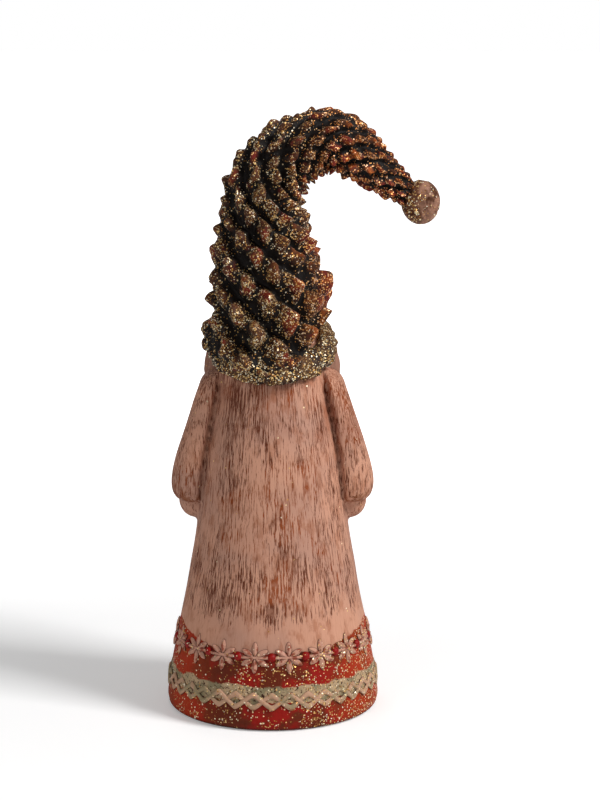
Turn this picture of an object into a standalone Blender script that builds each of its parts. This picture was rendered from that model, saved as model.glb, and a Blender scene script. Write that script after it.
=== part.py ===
"""Father frost figurine, one casting: a round tapered coat with hanging sleeves and mittens,
a bearded face, and a tall pine-cone hat that bends over to one side and ends in a pompom.
Metres, Z up, the base centre at the origin, the face towards -Y."""
import math

import bmesh
import bpy
from mathutils import Matrix, Vector

MM = 0.001
SLIVER = 0.01 * MM
PAINT_COLOUR = (0.52, 0.30, 0.22, 1.0)
PAINT_ROUGH = 0.7
SHARP_FROM = 35.0

# Coat: outer radius by height, from the base up
COAT_STEPS = 36
COAT_TURN = 1.3
BASE_FLAT_R = 38.8 * MM
BASE_EDGE_R = 41.2 * MM
BASE_EDGE_Z = 4.2 * MM
BASE_ARC_STEPS = 3
COAT_SIDE = [
    (39.6 * MM, 16.0 * MM),
    (37.3 * MM, 28.0 * MM),
    (35.0 * MM, 39.0 * MM),
    (29.8 * MM, 68.6 * MM),
    (27.7 * MM, 85.0 * MM),
    (26.0 * MM, 100.0 * MM),
    (23.9 * MM, 112.0 * MM),
    (21.8 * MM, 123.0 * MM),
    (20.4 * MM, 133.0 * MM),
    (18.0 * MM, 142.0 * MM),
]

# Hem ornament
WAVES = 18
ROW_Z = 28.0 * MM
RIB_HALF = 0.9 * MM
RIB_PROUD = 0.7 * MM
PETALS = 6
PETAL_IN = 0.5 * MM
PETAL_OUT = 5.9 * MM
PETAL_HALF = 1.35 * MM
PETAL_PROUD = 1.3 * MM
BEAD_R = 1.9 * MM
STRAND_Z = 11.8 * MM
STRAND_SWING = 2.4 * MM
STRAND_HALF = 1.6 * MM
STRAND_PROUD = (1.4 * MM, 1.05 * MM)
SINK = 0.9 * MM

# Sleeve sections: height, centre x, centre y, half width, half depth
SLEEVE_STEPS = 14
SLEEVE = [
    (133.0 * MM, 15.0 * MM, -0.5 * MM, 5.0 * MM, 5.5 * MM),
    (130.0 * MM, 17.3 * MM, -0.8 * MM, 8.6 * MM, 8.5 * MM),
    (123.5 * MM, 19.9 * MM, -1.2 * MM, 9.1 * MM, 9.8 * MM),
    (113.5 * MM, 23.0 * MM, -2.0 * MM, 9.2 * MM, 10.6 * MM),
    (104.0 * MM, 26.0 * MM, -3.0 * MM, 9.3 * MM, 11.6 * MM),
    (95.0 * MM, 28.6 * MM, -4.0 * MM, 9.4 * MM, 12.6 * MM),
    (88.5 * MM, 29.7 * MM, -4.6 * MM, 9.5 * MM, 13.2 * MM),
    (84.0 * MM, 29.7 * MM, -4.8 * MM, 8.9 * MM, 12.8 * MM),
    (81.2 * MM, 29.4 * MM, -4.9 * MM, 6.6 * MM, 10.6 * MM),
]
MITTEN_AT = (29.6 * MM, -4.8 * MM, 79.6 * MM)
MITTEN_HALF = (6.9 * MM, 8.2 * MM, 7.4 * MM)
THUMB_AT = (31.5 * MM, -12.6 * MM, 78.6 * MM)
THUMB_HALF = (3.0 * MM, 3.2 * MM, 5.0 * MM)

# Beard sections: height, half width, front reach
BEARD_STEPS = 28
BEARD_LOCKS = 7
BEARD_SWAY = 16.7 * MM
BEARD_GROOVE = 0.11
BEARD_BACK = -7.0 * MM
BEARD = [
    (144.5 * MM, 18.5 * MM, 12.0 * MM),
    (141.0 * MM, 23.4 * MM, 16.5 * MM),
    (136.0 * MM, 25.6 * MM, 20.0 * MM),
    (129.0 * MM, 26.3 * MM, 24.4 * MM),
    (119.5 * MM, 24.4 * MM, 28.2 * MM),
    (107.5 * MM, 18.6 * MM, 30.6 * MM),
    (94.0 * MM, 10.5 * MM, 31.0 * MM),
    (86.5 * MM, 5.0 * MM, 29.6 * MM),
]

# Face
HEAD_AT = (0.0, -5.0 * MM, 138.5 * MM)
HEAD_HALF = (20.4 * MM, 20.0 * MM, 19.0 * MM)
# Each part: where it sits across and up, how far its front stands proud, and its half sizes
NOSE_AT = (0.0, 135.6 * MM)
NOSE_PROUD = 5.4 * MM
NOSE_HALF = (4.1 * MM, 4.0 * MM, 3.8 * MM)
CHEEK_AT = (9.2 * MM, 135.2 * MM)
CHEEK_PROUD = 2.7 * MM
CHEEK_HALF = (5.4 * MM, 4.0 * MM, 4.4 * MM)
EYE_AT = (7.0 * MM, 140.6 * MM)
EYE_PROUD = 1.0 * MM
EYE_HALF = (3.1 * MM, 2.5 * MM, 2.0 * MM)
BROW_AT = (7.4 * MM, 144.2 * MM)
BROW_PROUD = 1.8 * MM
BROW_HALF = (4.2 * MM, 2.4 * MM, 1.5 * MM)
BROW_TURN = 12.0
WHISKER_AT = (7.6 * MM, 129.9 * MM)
WHISKER_PROUD = 5.9 * MM
WHISKER_HALF = (8.6 * MM, 5.6 * MM, 3.0 * MM)
WHISKER_TURN = 20.0
LIP_AT = (0.0, 127.0 * MM)
LIP_PROUD = 3.7 * MM
LIP_HALF = (3.0 * MM, 3.6 * MM, 1.3 * MM)

# Brim band of the hat, lower at the back
BRIM_STEPS = 28
BRIM_RING_STEPS = 6
BRIM_Z = 142.0 * MM
BRIM_R = 20.8 * MM
BRIM_THICK = 3.9 * MM
BRIM_HALF = 6.0 * MM
BRIM_TILT = 16.5

# Hat: outer radius along a centre line bent towards -X
HAT_LINE = [
    (0.5 * MM, 134.4 * MM, 25.6 * MM),
    (0.6 * MM, 146.3 * MM, 26.4 * MM),
    (1.3 * MM, 157.0 * MM, 25.6 * MM),
    (2.1 * MM, 166.0 * MM, 24.5 * MM),
    (3.2 * MM, 173.7 * MM, 22.4 * MM),
    (3.6 * MM, 181.3 * MM, 20.9 * MM),
    (3.9 * MM, 188.3 * MM, 18.9 * MM),
    (4.0 * MM, 194.3 * MM, 17.7 * MM),
    (3.4 * MM, 199.5 * MM, 17.1 * MM),
    (1.9 * MM, 204.3 * MM, 16.5 * MM),
    (-1.0 * MM, 208.8 * MM, 15.8 * MM),
    (-4.8 * MM, 212.9 * MM, 15.2 * MM),
    (-9.6 * MM, 216.1 * MM, 14.7 * MM),
    (-15.0 * MM, 218.3 * MM, 14.1 * MM),
    (-20.3 * MM, 219.5 * MM, 13.8 * MM),
    (-25.5 * MM, 218.6 * MM, 13.2 * MM),
    (-30.2 * MM, 216.0 * MM, 12.0 * MM),
    (-35.1 * MM, 212.2 * MM, 10.6 * MM),
    (-40.0 * MM, 208.2 * MM, 9.1 * MM),
    (-45.0 * MM, 204.3 * MM, 7.6 * MM),
    (-49.2 * MM, 201.0 * MM, 6.3 * MM),
    (-53.2 * MM, 198.1 * MM, 5.3 * MM),
]

# Pine-cone scales on a spiral lattice, sizes as shares of the local hat radius.
# Each scale is a patch: tucked under its neighbours on two sides, a high rim on the other two.
LEFT_STEPS = 8
RIGHT_STEPS = 13
SCALE_TURN = 137.508
SCALE_FIRST = 8.0 * MM
SCALE_RISE = 0.0345
SCALE_RISE_LEAST = 0.48 * MM
SCALE_FLOOR = 0.76
SCALE_PLACE = (-0.47, 0.02, 0.52)
SCALE_LIFT = (
    (0.00, 0.06, 0.12),
    (0.04, 0.17, 0.26),
    (0.10, 0.23, 0.23),
)
SCALE_LOW = 0.4
SCALE_FADE = 9.0 * MM
SCALE_FOOT = 0.22
SCALE_VARY = 0.15

# Pompom at the tip
POMPOM_AT = (-56.1 * MM, 0.0, 195.9 * MM)
POMPOM_HALF = (7.8 * MM, 7.8 * MM, 8.9 * MM)
DENT_TIMES = (7.0, 6.0, 6.5)
DENT_START = (0.0, 1.0, 0.0)
POMPOM_DENT = 0.05


def clear_scene():
    for item in list(bpy.data.objects):
        bpy.data.objects.remove(item, do_unlink=True)


def collection(name):
    group = bpy.data.collections.new(name)
    bpy.context.scene.collection.children.link(group)
    return group


def add_object(name, bm, group):
    mesh = bpy.data.meshes.new(name)
    bmesh.ops.recalc_face_normals(bm, faces=bm.faces[:])
    bm.to_mesh(mesh)
    bm.free()
    item = bpy.data.objects.new(name, mesh)
    group.objects.link(item)
    return item


def coat_radius(height):
    """Outer radius of the plain coat at a height above its rounded base edge."""
    side = [(BASE_EDGE_R, BASE_EDGE_Z)] + COAT_SIDE
    for (low_r, low_z), (high_r, high_z) in zip(side, side[1:]):
        if height <= high_z:
            part = (height - low_z) / (high_z - low_z)
            return low_r + (high_r - low_r) * max(part, 0.0)
    return side[-1][0]


def on_coat(turn, height, proud):
    """Point at an angle round the coat, raised off its surface."""
    radius = coat_radius(height) + proud
    return Vector((radius * math.cos(turn), radius * math.sin(turn), height))


# Coat body

def coat_outline():
    """Outline from the top centre down the outside to the base centre."""
    points = [(BASE_FLAT_R, 0.0)]
    for step in range(1, BASE_ARC_STEPS + 1):
        turn = math.pi / 2 * step / BASE_ARC_STEPS
        points.append((BASE_FLAT_R + (BASE_EDGE_R - BASE_FLAT_R) * math.sin(turn),
                       BASE_EDGE_Z * (1 - math.cos(turn))))
    raised = [
        (ROW_Z - RIB_HALF, 0.0), (ROW_Z, RIB_PROUD), (ROW_Z + RIB_HALF, 0.0),
    ]
    points += [(coat_radius(height) + proud, height) for height, proud in raised]
    points += [pair for pair in COAT_SIDE if pair[1] > ROW_Z + 2 * RIB_HALF]
    return [(0.0, COAT_SIDE[-1][1])] + points[::-1] + [(0.0, 0.0)]


def coat_body(group):
    mesh = bpy.data.meshes.new("figurine")
    turn = math.radians(COAT_TURN)
    points = [(radius * math.cos(turn), radius * math.sin(turn), height)
              for radius, height in coat_outline()]
    mesh.from_pydata(points, [(i, i + 1) for i in range(len(points) - 1)], [])
    body = bpy.data.objects.new("figurine", mesh)
    group.objects.link(body)
    turned = body.modifiers.new("turned", "SCREW")
    turned.axis = "Z"
    turned.angle = 2 * math.pi
    turned.steps = COAT_STEPS
    turned.render_steps = COAT_STEPS
    turned.use_merge_vertices = True
    turned.merge_threshold = 0.00001
    return body


# Shared shapes

def ring_solid(bm, rings):
    """Closed solid through rings of points, each end closed by a fan."""
    loops = [[bm.verts.new(point) for point in ring] for ring in rings]
    count = len(loops[0])
    for lower, upper in zip(loops, loops[1:]):
        for i in range(count):
            j = (i + 1) % count
            bm.faces.new((lower[i], lower[j], upper[j], upper[i]))
    for loop in (loops[0], loops[-1]):
        middle = bm.verts.new(sum((vert.co for vert in loop), Vector()) / count)
        for i in range(count):
            bm.faces.new((loop[i], loop[(i + 1) % count], middle))


def ring_loop(bm, sections):
    """Closed band swept through sections that come back to the first."""
    loops = [[bm.verts.new(point) for point in section] for section in sections]
    count = len(loops[0])
    for k, loop in enumerate(loops):
        following = loops[(k + 1) % len(loops)]
        for i in range(count):
            j = (i + 1) % count
            bm.faces.new((loop[i], loop[j], following[j], following[i]))


def ellipsoid(bm, centre, half, sides=12, rings=8, turn=0.0):
    """Round lump; turn leans it in the XZ plane, in degrees."""
    place = (Matrix.Translation(centre)
             @ Matrix.Rotation(math.radians(turn), 4, "Y")
             @ Matrix.Diagonal((half[0], half[1], half[2], 1.0)))
    bmesh.ops.create_uvsphere(bm, u_segments=sides, v_segments=rings, radius=1.0, matrix=place)


def mirrored(at, side):
    return (at[0] * side, at[1], at[2])


# Hem ornament

def petal(bm, turn, lean):
    """Diamond petal of a snowflake, its ridge raised off the coat."""
    reach = (PETAL_PROUD + SINK) / PETAL_PROUD
    middle = (PETAL_IN + PETAL_OUT) / 2
    half = (PETAL_OUT - PETAL_IN) / 2
    made = bmesh.ops.create_cone(bm, cap_ends=True, segments=4, radius1=1.0, radius2=0.0, depth=1.0)
    for vert in made["verts"]:
        along = middle + vert.co.x * half * reach
        across = vert.co.y * PETAL_HALF * reach
        proud = -SINK + (vert.co.z + 0.5) * (PETAL_PROUD + SINK)
        sideways = along * math.sin(lean) + across * math.cos(lean)
        height = ROW_Z + along * math.cos(lean) - across * math.sin(lean)
        vert.co = on_coat(turn + sideways / coat_radius(ROW_Z), height, proud)


def snowflakes(group):
    bm = bmesh.new()
    for wave in range(WAVES):
        turn = 2 * math.pi * wave / WAVES
        for number in range(PETALS):
            petal(bm, turn, 2 * math.pi * number / PETALS)
    return add_object("snowflakes", bm, group)


def beads(group):
    bm = bmesh.new()
    for wave in range(WAVES):
        turn = 2 * math.pi * (wave + 0.5) / WAVES
        place = Matrix.Translation(on_coat(turn, ROW_Z, 0.0))
        bmesh.ops.create_icosphere(bm, subdivisions=1, radius=BEAD_R, matrix=place)
    return add_object("beads", bm, group)


def zigzag(group):
    """Two raised strands that cross in every wave."""
    bm = bmesh.new()
    for side, proud in zip((1, -1), STRAND_PROUD):
        sections = []
        for step in range(2 * WAVES):
            turn = 2 * math.pi * step / (2 * WAVES)
            middle = STRAND_Z + side * STRAND_SWING * (-1) ** step
            outline = [(-STRAND_HALF, -SINK), (0.0, proud), (STRAND_HALF, -SINK)]
            sections.append([on_coat(turn, middle + across, rise) for across, rise in outline])
        ring_loop(bm, sections)
    return add_object("zigzag", bm, group)


# Sleeves and mittens

def sleeve_ring(side, height, x, y, half_x, half_y):
    return [Vector((side * (x + half_x * math.cos(2 * math.pi * i / SLEEVE_STEPS)),
                    y + half_y * math.sin(2 * math.pi * i / SLEEVE_STEPS), height))
            for i in range(SLEEVE_STEPS)]


def arms(group):
    bm = bmesh.new()
    for side in (1, -1):
        ring_solid(bm, [sleeve_ring(side, *section) for section in SLEEVE])
        ellipsoid(bm, mirrored(MITTEN_AT, side), MITTEN_HALF, sides=12, rings=8)
        ellipsoid(bm, mirrored(THUMB_AT, side), THUMB_HALF, sides=8, rings=6)
    return add_object("arms", bm, group)


# Face and beard

def beard_ring(height, half_width, reach):
    """Oval section with grooves between the locks."""
    depth = reach + BEARD_BACK
    points = []
    for i in range(BEARD_STEPS):
        turn = 2 * math.pi * i / BEARD_STEPS
        lock = 1.0 - BEARD_GROOVE * (0.5 - 0.5 * math.cos(BEARD_LOCKS * turn + height / BEARD_SWAY))
        points.append(Vector((half_width * lock * math.cos(turn),
                              BEARD_BACK + depth * lock * math.sin(-turn), height)))
    return points


def beard(group):
    bm = bmesh.new()
    ring_solid(bm, [beard_ring(*section) for section in BEARD])
    return add_object("beard", bm, group)


def head_front(x, height):
    """Y of the head's front surface."""
    across = (x - HEAD_AT[0]) / HEAD_HALF[0]
    up = (height - HEAD_AT[2]) / HEAD_HALF[2]
    return HEAD_AT[1] - HEAD_HALF[1] * math.sqrt(max(0.0, 1.0 - across ** 2 - up ** 2))


def beard_front(x, height):
    """Y of the beard's front surface, on the crests of its locks."""
    for (top, top_half, top_reach), (low, low_half, low_reach) in zip(BEARD, BEARD[1:]):
        if height >= low:
            part = (top - height) / (top - low)
            half_width = top_half + (low_half - top_half) * part
            depth = top_reach + (low_reach - top_reach) * part + BEARD_BACK
            return BEARD_BACK - depth * math.sqrt(max(0.0, 1.0 - (x / half_width) ** 2))
    return BEARD_BACK


def seated(front, at, proud, half):
    """Centre of a form whose front stands proud of the surface it grows from."""
    x, height = at
    return (x, front(x, height) - proud + half[1], height)


def face(group):
    bm = bmesh.new()
    ellipsoid(bm, HEAD_AT, HEAD_HALF, sides=20, rings=10)
    ellipsoid(bm, seated(head_front, NOSE_AT, NOSE_PROUD, NOSE_HALF), NOSE_HALF, sides=10, rings=7)
    ellipsoid(bm, seated(beard_front, LIP_AT, LIP_PROUD, LIP_HALF), LIP_HALF, sides=8, rings=6)
    cheek = seated(head_front, CHEEK_AT, CHEEK_PROUD, CHEEK_HALF)
    eye = seated(head_front, EYE_AT, EYE_PROUD, EYE_HALF)
    brow = seated(head_front, BROW_AT, BROW_PROUD, BROW_HALF)
    whisker = seated(beard_front, WHISKER_AT, WHISKER_PROUD, WHISKER_HALF)
    for side in (1, -1):
        ellipsoid(bm, mirrored(cheek, side), CHEEK_HALF, sides=10, rings=6)
        ellipsoid(bm, mirrored(eye, side), EYE_HALF, sides=10, rings=6)
        ellipsoid(bm, mirrored(brow, side), BROW_HALF, sides=10, rings=6, turn=side * BROW_TURN)
        ellipsoid(bm, mirrored(whisker, side), WHISKER_HALF, sides=10, rings=6,
                  turn=side * WHISKER_TURN)
    return add_object("face", bm, group)


# Hat

def hat_lengths():
    """Distance along the centre line at each of its points."""
    total = [0.0]
    for (x0, z0, _), (x1, z1, _) in zip(HAT_LINE, HAT_LINE[1:]):
        total.append(total[-1] + math.hypot(x1 - x0, z1 - z0))
    return total


def hat_frame(length):
    """Centre, outward direction, forward direction and radius at a distance along the hat."""
    lengths = hat_lengths()
    index = 0
    while index < len(lengths) - 2 and lengths[index + 1] < length:
        index += 1
    part = (length - lengths[index]) / (lengths[index + 1] - lengths[index])
    start = Vector(HAT_LINE[index])
    end = Vector(HAT_LINE[index + 1])
    before = Vector(HAT_LINE[max(index - 1, 0)])
    after = Vector(HAT_LINE[min(index + 2, len(HAT_LINE) - 1)])
    x, z, radius = start.lerp(end, part)
    slope = (end - before).lerp(after - start, part)
    forward = Vector((slope.x, 0.0, slope.y)).normalized()
    outward = Vector((0.0, 1.0, 0.0)).cross(forward)
    return Vector((x, 0.0, z)), -outward, forward, radius


def scale_distances():
    """Distance along the hat of every step of the spiral, one step to a scale."""
    steps = [SCALE_FIRST]
    while steps[-1] < hat_lengths()[-1]:
        radius = hat_frame(steps[-1])[3]
        steps.append(steps[-1] + max(SCALE_RISE * radius, SCALE_RISE_LEAST))
    return steps


def along_spiral(steps, place):
    """Distance along the hat at a fractional place on the spiral, before its first step too."""
    index = min(max(math.floor(place), 0), len(steps) - 2)
    return steps[index] + (place - index) * (steps[index + 1] - steps[index])


def family_turn(count):
    """Turn left over after a number of spiral steps, between half a turn back and forward."""
    turn = math.radians(SCALE_TURN) * count
    return (turn + math.pi) % (2 * math.pi) - math.pi


def scale_vary(number, kind):
    """Repeatable difference in size between scales, about 1."""
    return 1.0 + SCALE_VARY * math.sin(math.radians(SCALE_TURN) * number * kind + kind)


def brim_up():
    """Direction square to the tilted brim."""
    tilt = math.radians(BRIM_TILT)
    return Vector((0.0, math.sin(tilt), math.cos(tilt)))


def hat_point(steps, number, left, right):
    """Point of a scale patch on the spiral lattice."""
    across = SCALE_PLACE[left]
    along = SCALE_PLACE[right]
    place = number + LEFT_STEPS * across + RIGHT_STEPS * along
    centre, outward, forward, radius = hat_frame(along_spiral(steps, place))
    turn = (math.radians(SCALE_TURN) * number + across * family_turn(LEFT_STEPS)
            + along * family_turn(RIGHT_STEPS))
    normal = outward * math.cos(turn) + Vector((0.0, math.sin(turn), 0.0))
    above = (centre + normal * radius - Vector((0.0, 0.0, BRIM_Z))).dot(brim_up())
    fade = min(1.0, max(SCALE_LOW, above / SCALE_FADE))
    lift = SCALE_LIFT[left][right] * scale_vary(number, 1) * fade
    foot = SCALE_FOOT * (1.0 - fade)
    return centre + normal * radius * (SCALE_FLOOR + foot + lift)


def hat_skin(group):
    """Skin of overlapping scales, one patch of the spiral lattice to a scale."""
    steps = scale_distances()
    patch = len(SCALE_PLACE)
    spare = LEFT_STEPS + RIGHT_STEPS
    bm = bmesh.new()
    grid = {}

    def corner(number, i, j):
        number += LEFT_STEPS * (i // patch) + RIGHT_STEPS * (j // patch)
        key = (number, i % patch, j % patch)
        if key not in grid:
            grid[key] = bm.verts.new(hat_point(steps, *key))
        return grid[key]

    for number in range(-2 * spare, len(steps) + spare // 2):
        for i in range(patch):
            for j in range(patch):
                bm.faces.new((corner(number, i, j), corner(number, i + 1, j),
                              corner(number, i + 1, j + 1), corner(number, i, j + 1)))
    trim(bm, Vector((0.0, 0.0, BRIM_Z)), brim_up())
    centre, _, forward, _ = hat_frame(hat_lengths()[-1])
    trim(bm, centre, -forward)
    return add_object("hat_skin", bm, group)


def trim(bm, point, keep):
    """Cut away what lies behind a plane and close the cut."""
    everything = bm.verts[:] + bm.edges[:] + bm.faces[:]
    cut = bmesh.ops.bisect_plane(bm, geom=everything, plane_co=point, plane_no=keep, clear_inner=True)
    rim = [item for item in cut["geom_cut"] if isinstance(item, bmesh.types.BMEdge)]
    bmesh.ops.holes_fill(bm, edges=rim)


def brim(group):
    """Smooth band round the foot of the hat, tilted down at the back."""
    sections = []
    for step in range(BRIM_STEPS):
        turn = 2 * math.pi * step / BRIM_STEPS
        height = BRIM_Z - math.tan(math.radians(BRIM_TILT)) * BRIM_R * math.sin(turn)
        section = []
        for i in range(BRIM_RING_STEPS):
            roll = 2 * math.pi * i / BRIM_RING_STEPS
            radius = BRIM_R + BRIM_THICK * math.cos(roll)
            section.append(Vector((radius * math.cos(turn), radius * math.sin(turn),
                                   height + BRIM_HALF * math.sin(roll))))
        sections.append(section)
    bm = bmesh.new()
    ring_loop(bm, sections)
    return add_object("brim", bm, group)


def pompom(group):
    bm = bmesh.new()
    bmesh.ops.create_icosphere(bm, subdivisions=2, radius=1.0)
    for vert in bm.verts:
        waves = [math.sin(times * c + start) for times, start, c in zip(DENT_TIMES, DENT_START, vert.co)]
        dent = math.prod(waves)
        size = 1.0 + POMPOM_DENT * dent
        vert.co = Vector(POMPOM_AT) + Vector([c * h * size for c, h in zip(vert.co, POMPOM_HALF)])
    return add_object("pompom", bm, group)


# One casting

def fuse(body, forms):
    joined = body.modifiers.new("cast", "BOOLEAN")
    joined.operation = "UNION"
    joined.solver = "EXACT"
    joined.operand_type = "COLLECTION"
    joined.collection = forms
    joined.use_self = True
    for item in forms.objects:
        item.hide_render = True
        item.display_type = "WIRE"


def outer_skin(mesh):
    """Fill the pockets closed in between the scales: only the largest shell stays."""
    bm = bmesh.new()
    bm.from_mesh(mesh)
    left = set(bm.verts)
    shells = []
    while left:
        shell = {left.pop()}
        edge_of_shell = list(shell)
        while edge_of_shell:
            for edge in edge_of_shell.pop().link_edges:
                for vert in edge.verts:
                    if vert in left:
                        left.remove(vert)
                        shell.add(vert)
                        edge_of_shell.append(vert)
        shells.append(shell)
    shells.sort(key=len)
    for shell in shells[:-1]:
        bmesh.ops.delete(bm, geom=list(shell), context="VERTS")
    bmesh.ops.dissolve_degenerate(bm, dist=SLIVER, edges=bm.edges[:])
    bm.to_mesh(mesh)
    bm.free()


def finish(body):
    """Paint slot and shading of the finished casting."""
    material = bpy.data.materials.new("painted_gypsum")
    material.use_nodes = True
    surface = material.node_tree.nodes["Principled BSDF"]
    surface.inputs["Base Color"].default_value = PAINT_COLOUR
    surface.inputs["Roughness"].default_value = PAINT_ROUGH
    body.data.materials.append(material)
    graph = bpy.context.evaluated_depsgraph_get()
    baked = bpy.data.meshes.new_from_object(body.evaluated_get(graph))
    body.modifiers.clear()
    body.data = baked
    outer_skin(baked)
    baked.materials.clear()
    baked.materials.append(material)
    baked.shade_smooth()
    baked.set_sharp_from_angle(angle=math.radians(SHARP_FROM))


def build():
    clear_scene()
    casting = collection("father_frost_figurine")
    forms = collection("casting_forms")
    body = coat_body(casting)
    for make in (snowflakes, beads, zigzag, arms, beard, face, hat_skin, brim, pompom):
        make(forms)
    fuse(body, forms)
    finish(body)


build()
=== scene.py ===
# %% [markdown]
# # A cast father frost figurine
# The real object is one casting, painted by hand: a tapered coat with a red ornamented hem,
# two hanging sleeves, a bearded face, and a tall hat like a pine cone that bends over to a pompom.
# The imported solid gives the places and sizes. This lesson models the same forms again, finely,
# and paints each one with shader nodes, as the brush and the glitter jar would.

# %% Load the frame
import math

import bmesh
import bpy
from mathutils import Matrix, Vector, noise


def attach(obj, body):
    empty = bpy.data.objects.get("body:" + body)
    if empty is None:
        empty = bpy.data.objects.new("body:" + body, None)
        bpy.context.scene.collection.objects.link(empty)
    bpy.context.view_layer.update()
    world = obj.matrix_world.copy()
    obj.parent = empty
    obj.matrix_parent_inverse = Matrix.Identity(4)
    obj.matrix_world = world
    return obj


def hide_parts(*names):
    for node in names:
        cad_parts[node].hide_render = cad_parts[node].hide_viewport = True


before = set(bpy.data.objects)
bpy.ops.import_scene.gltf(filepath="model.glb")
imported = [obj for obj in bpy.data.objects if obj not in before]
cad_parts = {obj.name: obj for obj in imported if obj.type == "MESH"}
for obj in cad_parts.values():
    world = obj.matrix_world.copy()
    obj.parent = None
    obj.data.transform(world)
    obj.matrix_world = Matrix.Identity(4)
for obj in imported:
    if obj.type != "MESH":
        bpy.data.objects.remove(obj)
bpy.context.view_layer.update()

MM = 0.001
NODE = "figurine"
UP = Vector((0.0, 0.0, 1.0))

# %% [markdown]
# ## The camera
# The photograph was taken from behind, about a metre away and a little from above.
# The focal length is worked out from the picture: its height in pixels against the
# distance in pixels at which one metre covers as many pixels as it does there.

# %% Camera
IMAGE_HEIGHT = 800
FOCAL_PIXELS = 2793.0
SENSOR = 24.0
CAMERA_AT = (-10.6 * MM, 1046.0 * MM, 340.0 * MM)
CAMERA_DOWN = 11.9

camera_data = bpy.data.cameras.new("camera")
camera_data.sensor_fit = "VERTICAL"
camera_data.sensor_height = SENSOR
camera_data.lens = FOCAL_PIXELS / IMAGE_HEIGHT * SENSOR
camera = bpy.data.objects.new("camera", camera_data)
camera.location = CAMERA_AT
camera.rotation_euler = (math.radians(90 - CAMERA_DOWN), 0.0, math.radians(180))
bpy.context.scene.collection.objects.link(camera)
bpy.context.scene.camera = camera
print("lens", round(camera_data.lens, 1), "mm")

# %% [markdown]
# ## Helpers for shapes
# Many forms here are a few listed sections with a smooth change between them. A
# Catmull-Rom curve passes through its own points, so the same numbers as in the solid can be
# used, and the fine surface still lies where the coarse one does.

# %% Smooth rows
def smooth_row(rows, share):
    """Row of numbers at a share of the way through a list of rows, on a smooth curve."""
    place = min(max(share, 0.0), 1.0) * (len(rows) - 1)
    index = min(int(place), len(rows) - 2)
    t = place - index
    p1, p2 = rows[index], rows[index + 1]
    p0 = rows[index - 1] if index > 0 else tuple(2 * a - b for a, b in zip(p1, p2))
    p3 = rows[index + 2] if index + 2 < len(rows) else tuple(2 * b - a for a, b in zip(p1, p2))
    return tuple(0.5 * (2 * b + (c - a) * t + (2 * a - 5 * b + 4 * c - d) * t * t
                        + (3 * b - a - 3 * c + d) * t ** 3)
                 for a, b, c, d in zip(p0, p1, p2, p3))


def ease(value, start, end):
    """Soft step from 0 at start to 1 at end."""
    t = min(max((value - start) / (end - start), 0.0), 1.0)
    return t * t * (3 - 2 * t)


print("half way between 0 and 10:", smooth_row([(0.0,), (10.0,)], 0.5))

# %% [markdown]
# A closed form with round ends can start as a sphere. Its vertices already run in rings from
# pole to pole, so each ring is moved to a section of the form: nothing has to be stitched.

# %% Sphere to form
MERGE = 0.001 * MM
POLE = 1e-6


def sphere_form(bm, sides, rings, place):
    """Add a sphere and move each vertex to place(share from the top, turn, 0 at a pole or 1)."""
    made = bmesh.ops.create_uvsphere(bm, u_segments=sides, v_segments=rings, radius=1.0)
    for vert in made["verts"]:
        share = math.acos(min(max(vert.co.z, -1.0), 1.0)) / math.pi
        turn = math.atan2(vert.co.y, vert.co.x)
        at_pole = math.hypot(vert.co.x, vert.co.y) < POLE
        vert.co = place(share, turn, 0.0 if at_pole else 1.0)
    return made["verts"]


def lump(bm, centre, half, sides=32, rings=20, lean=0.0):
    """Egg shape; lean turns it in the XZ plane, in degrees."""
    place = (Matrix.Translation(centre) @ Matrix.Rotation(math.radians(lean), 4, "Y")
             @ Matrix.Diagonal((half[0], half[1], half[2], 1.0)))
    made = bmesh.ops.create_uvsphere(bm, u_segments=sides, v_segments=rings, radius=1.0, matrix=place)
    return made["verts"]


def in_mm(values):
    return tuple(value * MM for value in values)


def mirrored(at, side):
    return (at[0] * side, at[1], at[2])


print("half an egg is", in_mm((3, 4, 5)), "metres")

# %% [markdown]
# Every piece is finished the same way: loose doubles merged, faces turned outwards, smooth
# shading, hung under the root's empty, and the imported solid it stands for hidden.

# %% Finish a piece
def new_mesh(name, bm):
    bmesh.ops.remove_doubles(bm, verts=bm.verts[:], dist=MERGE)
    bmesh.ops.recalc_face_normals(bm, faces=bm.faces[:])
    mesh = bpy.data.meshes.new(name)
    bm.to_mesh(mesh)
    bm.free()
    return mesh


def finish_piece(name, mesh, material):
    mesh.materials.clear()
    mesh.materials.append(material)
    mesh.shade_smooth()
    piece = bpy.data.objects.new(name, mesh)
    bpy.context.scene.collection.objects.link(piece)
    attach(piece, "root")
    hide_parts(NODE)
    mesh.calc_loop_triangles()
    print(name, len(mesh.loop_triangles), "triangles")


def soften(bm, verts, passes):
    for _ in range(passes):
        bmesh.ops.smooth_vert(bm, verts=verts, factor=0.5, use_axis_x=True, use_axis_y=True,
                              use_axis_z=True)


def cast_together(name, bm, voxel, smooth):
    """Fuse overlapping closed shapes into one skin, with the soft inner corners of a casting."""
    rough = bpy.data.objects.new(name + "_rough", new_mesh(name, bm))
    bpy.context.scene.collection.objects.link(rough)
    fused = rough.modifiers.new("fused", "REMESH")
    fused.mode = "VOXEL"
    fused.voxel_size = voxel
    softened = rough.modifiers.new("softened", "SMOOTH")
    softened.factor = 0.5
    softened.iterations = smooth
    graph = bpy.context.evaluated_depsgraph_get()
    skin = bpy.data.meshes.new_from_object(rough.evaluated_get(graph))
    bpy.data.objects.remove(rough, do_unlink=True)
    skin.name = name
    return skin


# %% [markdown]
# ## Paint as nodes
# Paint is procedural, so it has no picture and no seam. A few short functions keep the long
# chains of nodes readable: each adds one node, plugs in numbers or other nodes' outputs, and
# hands back its output for the next step.

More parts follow.
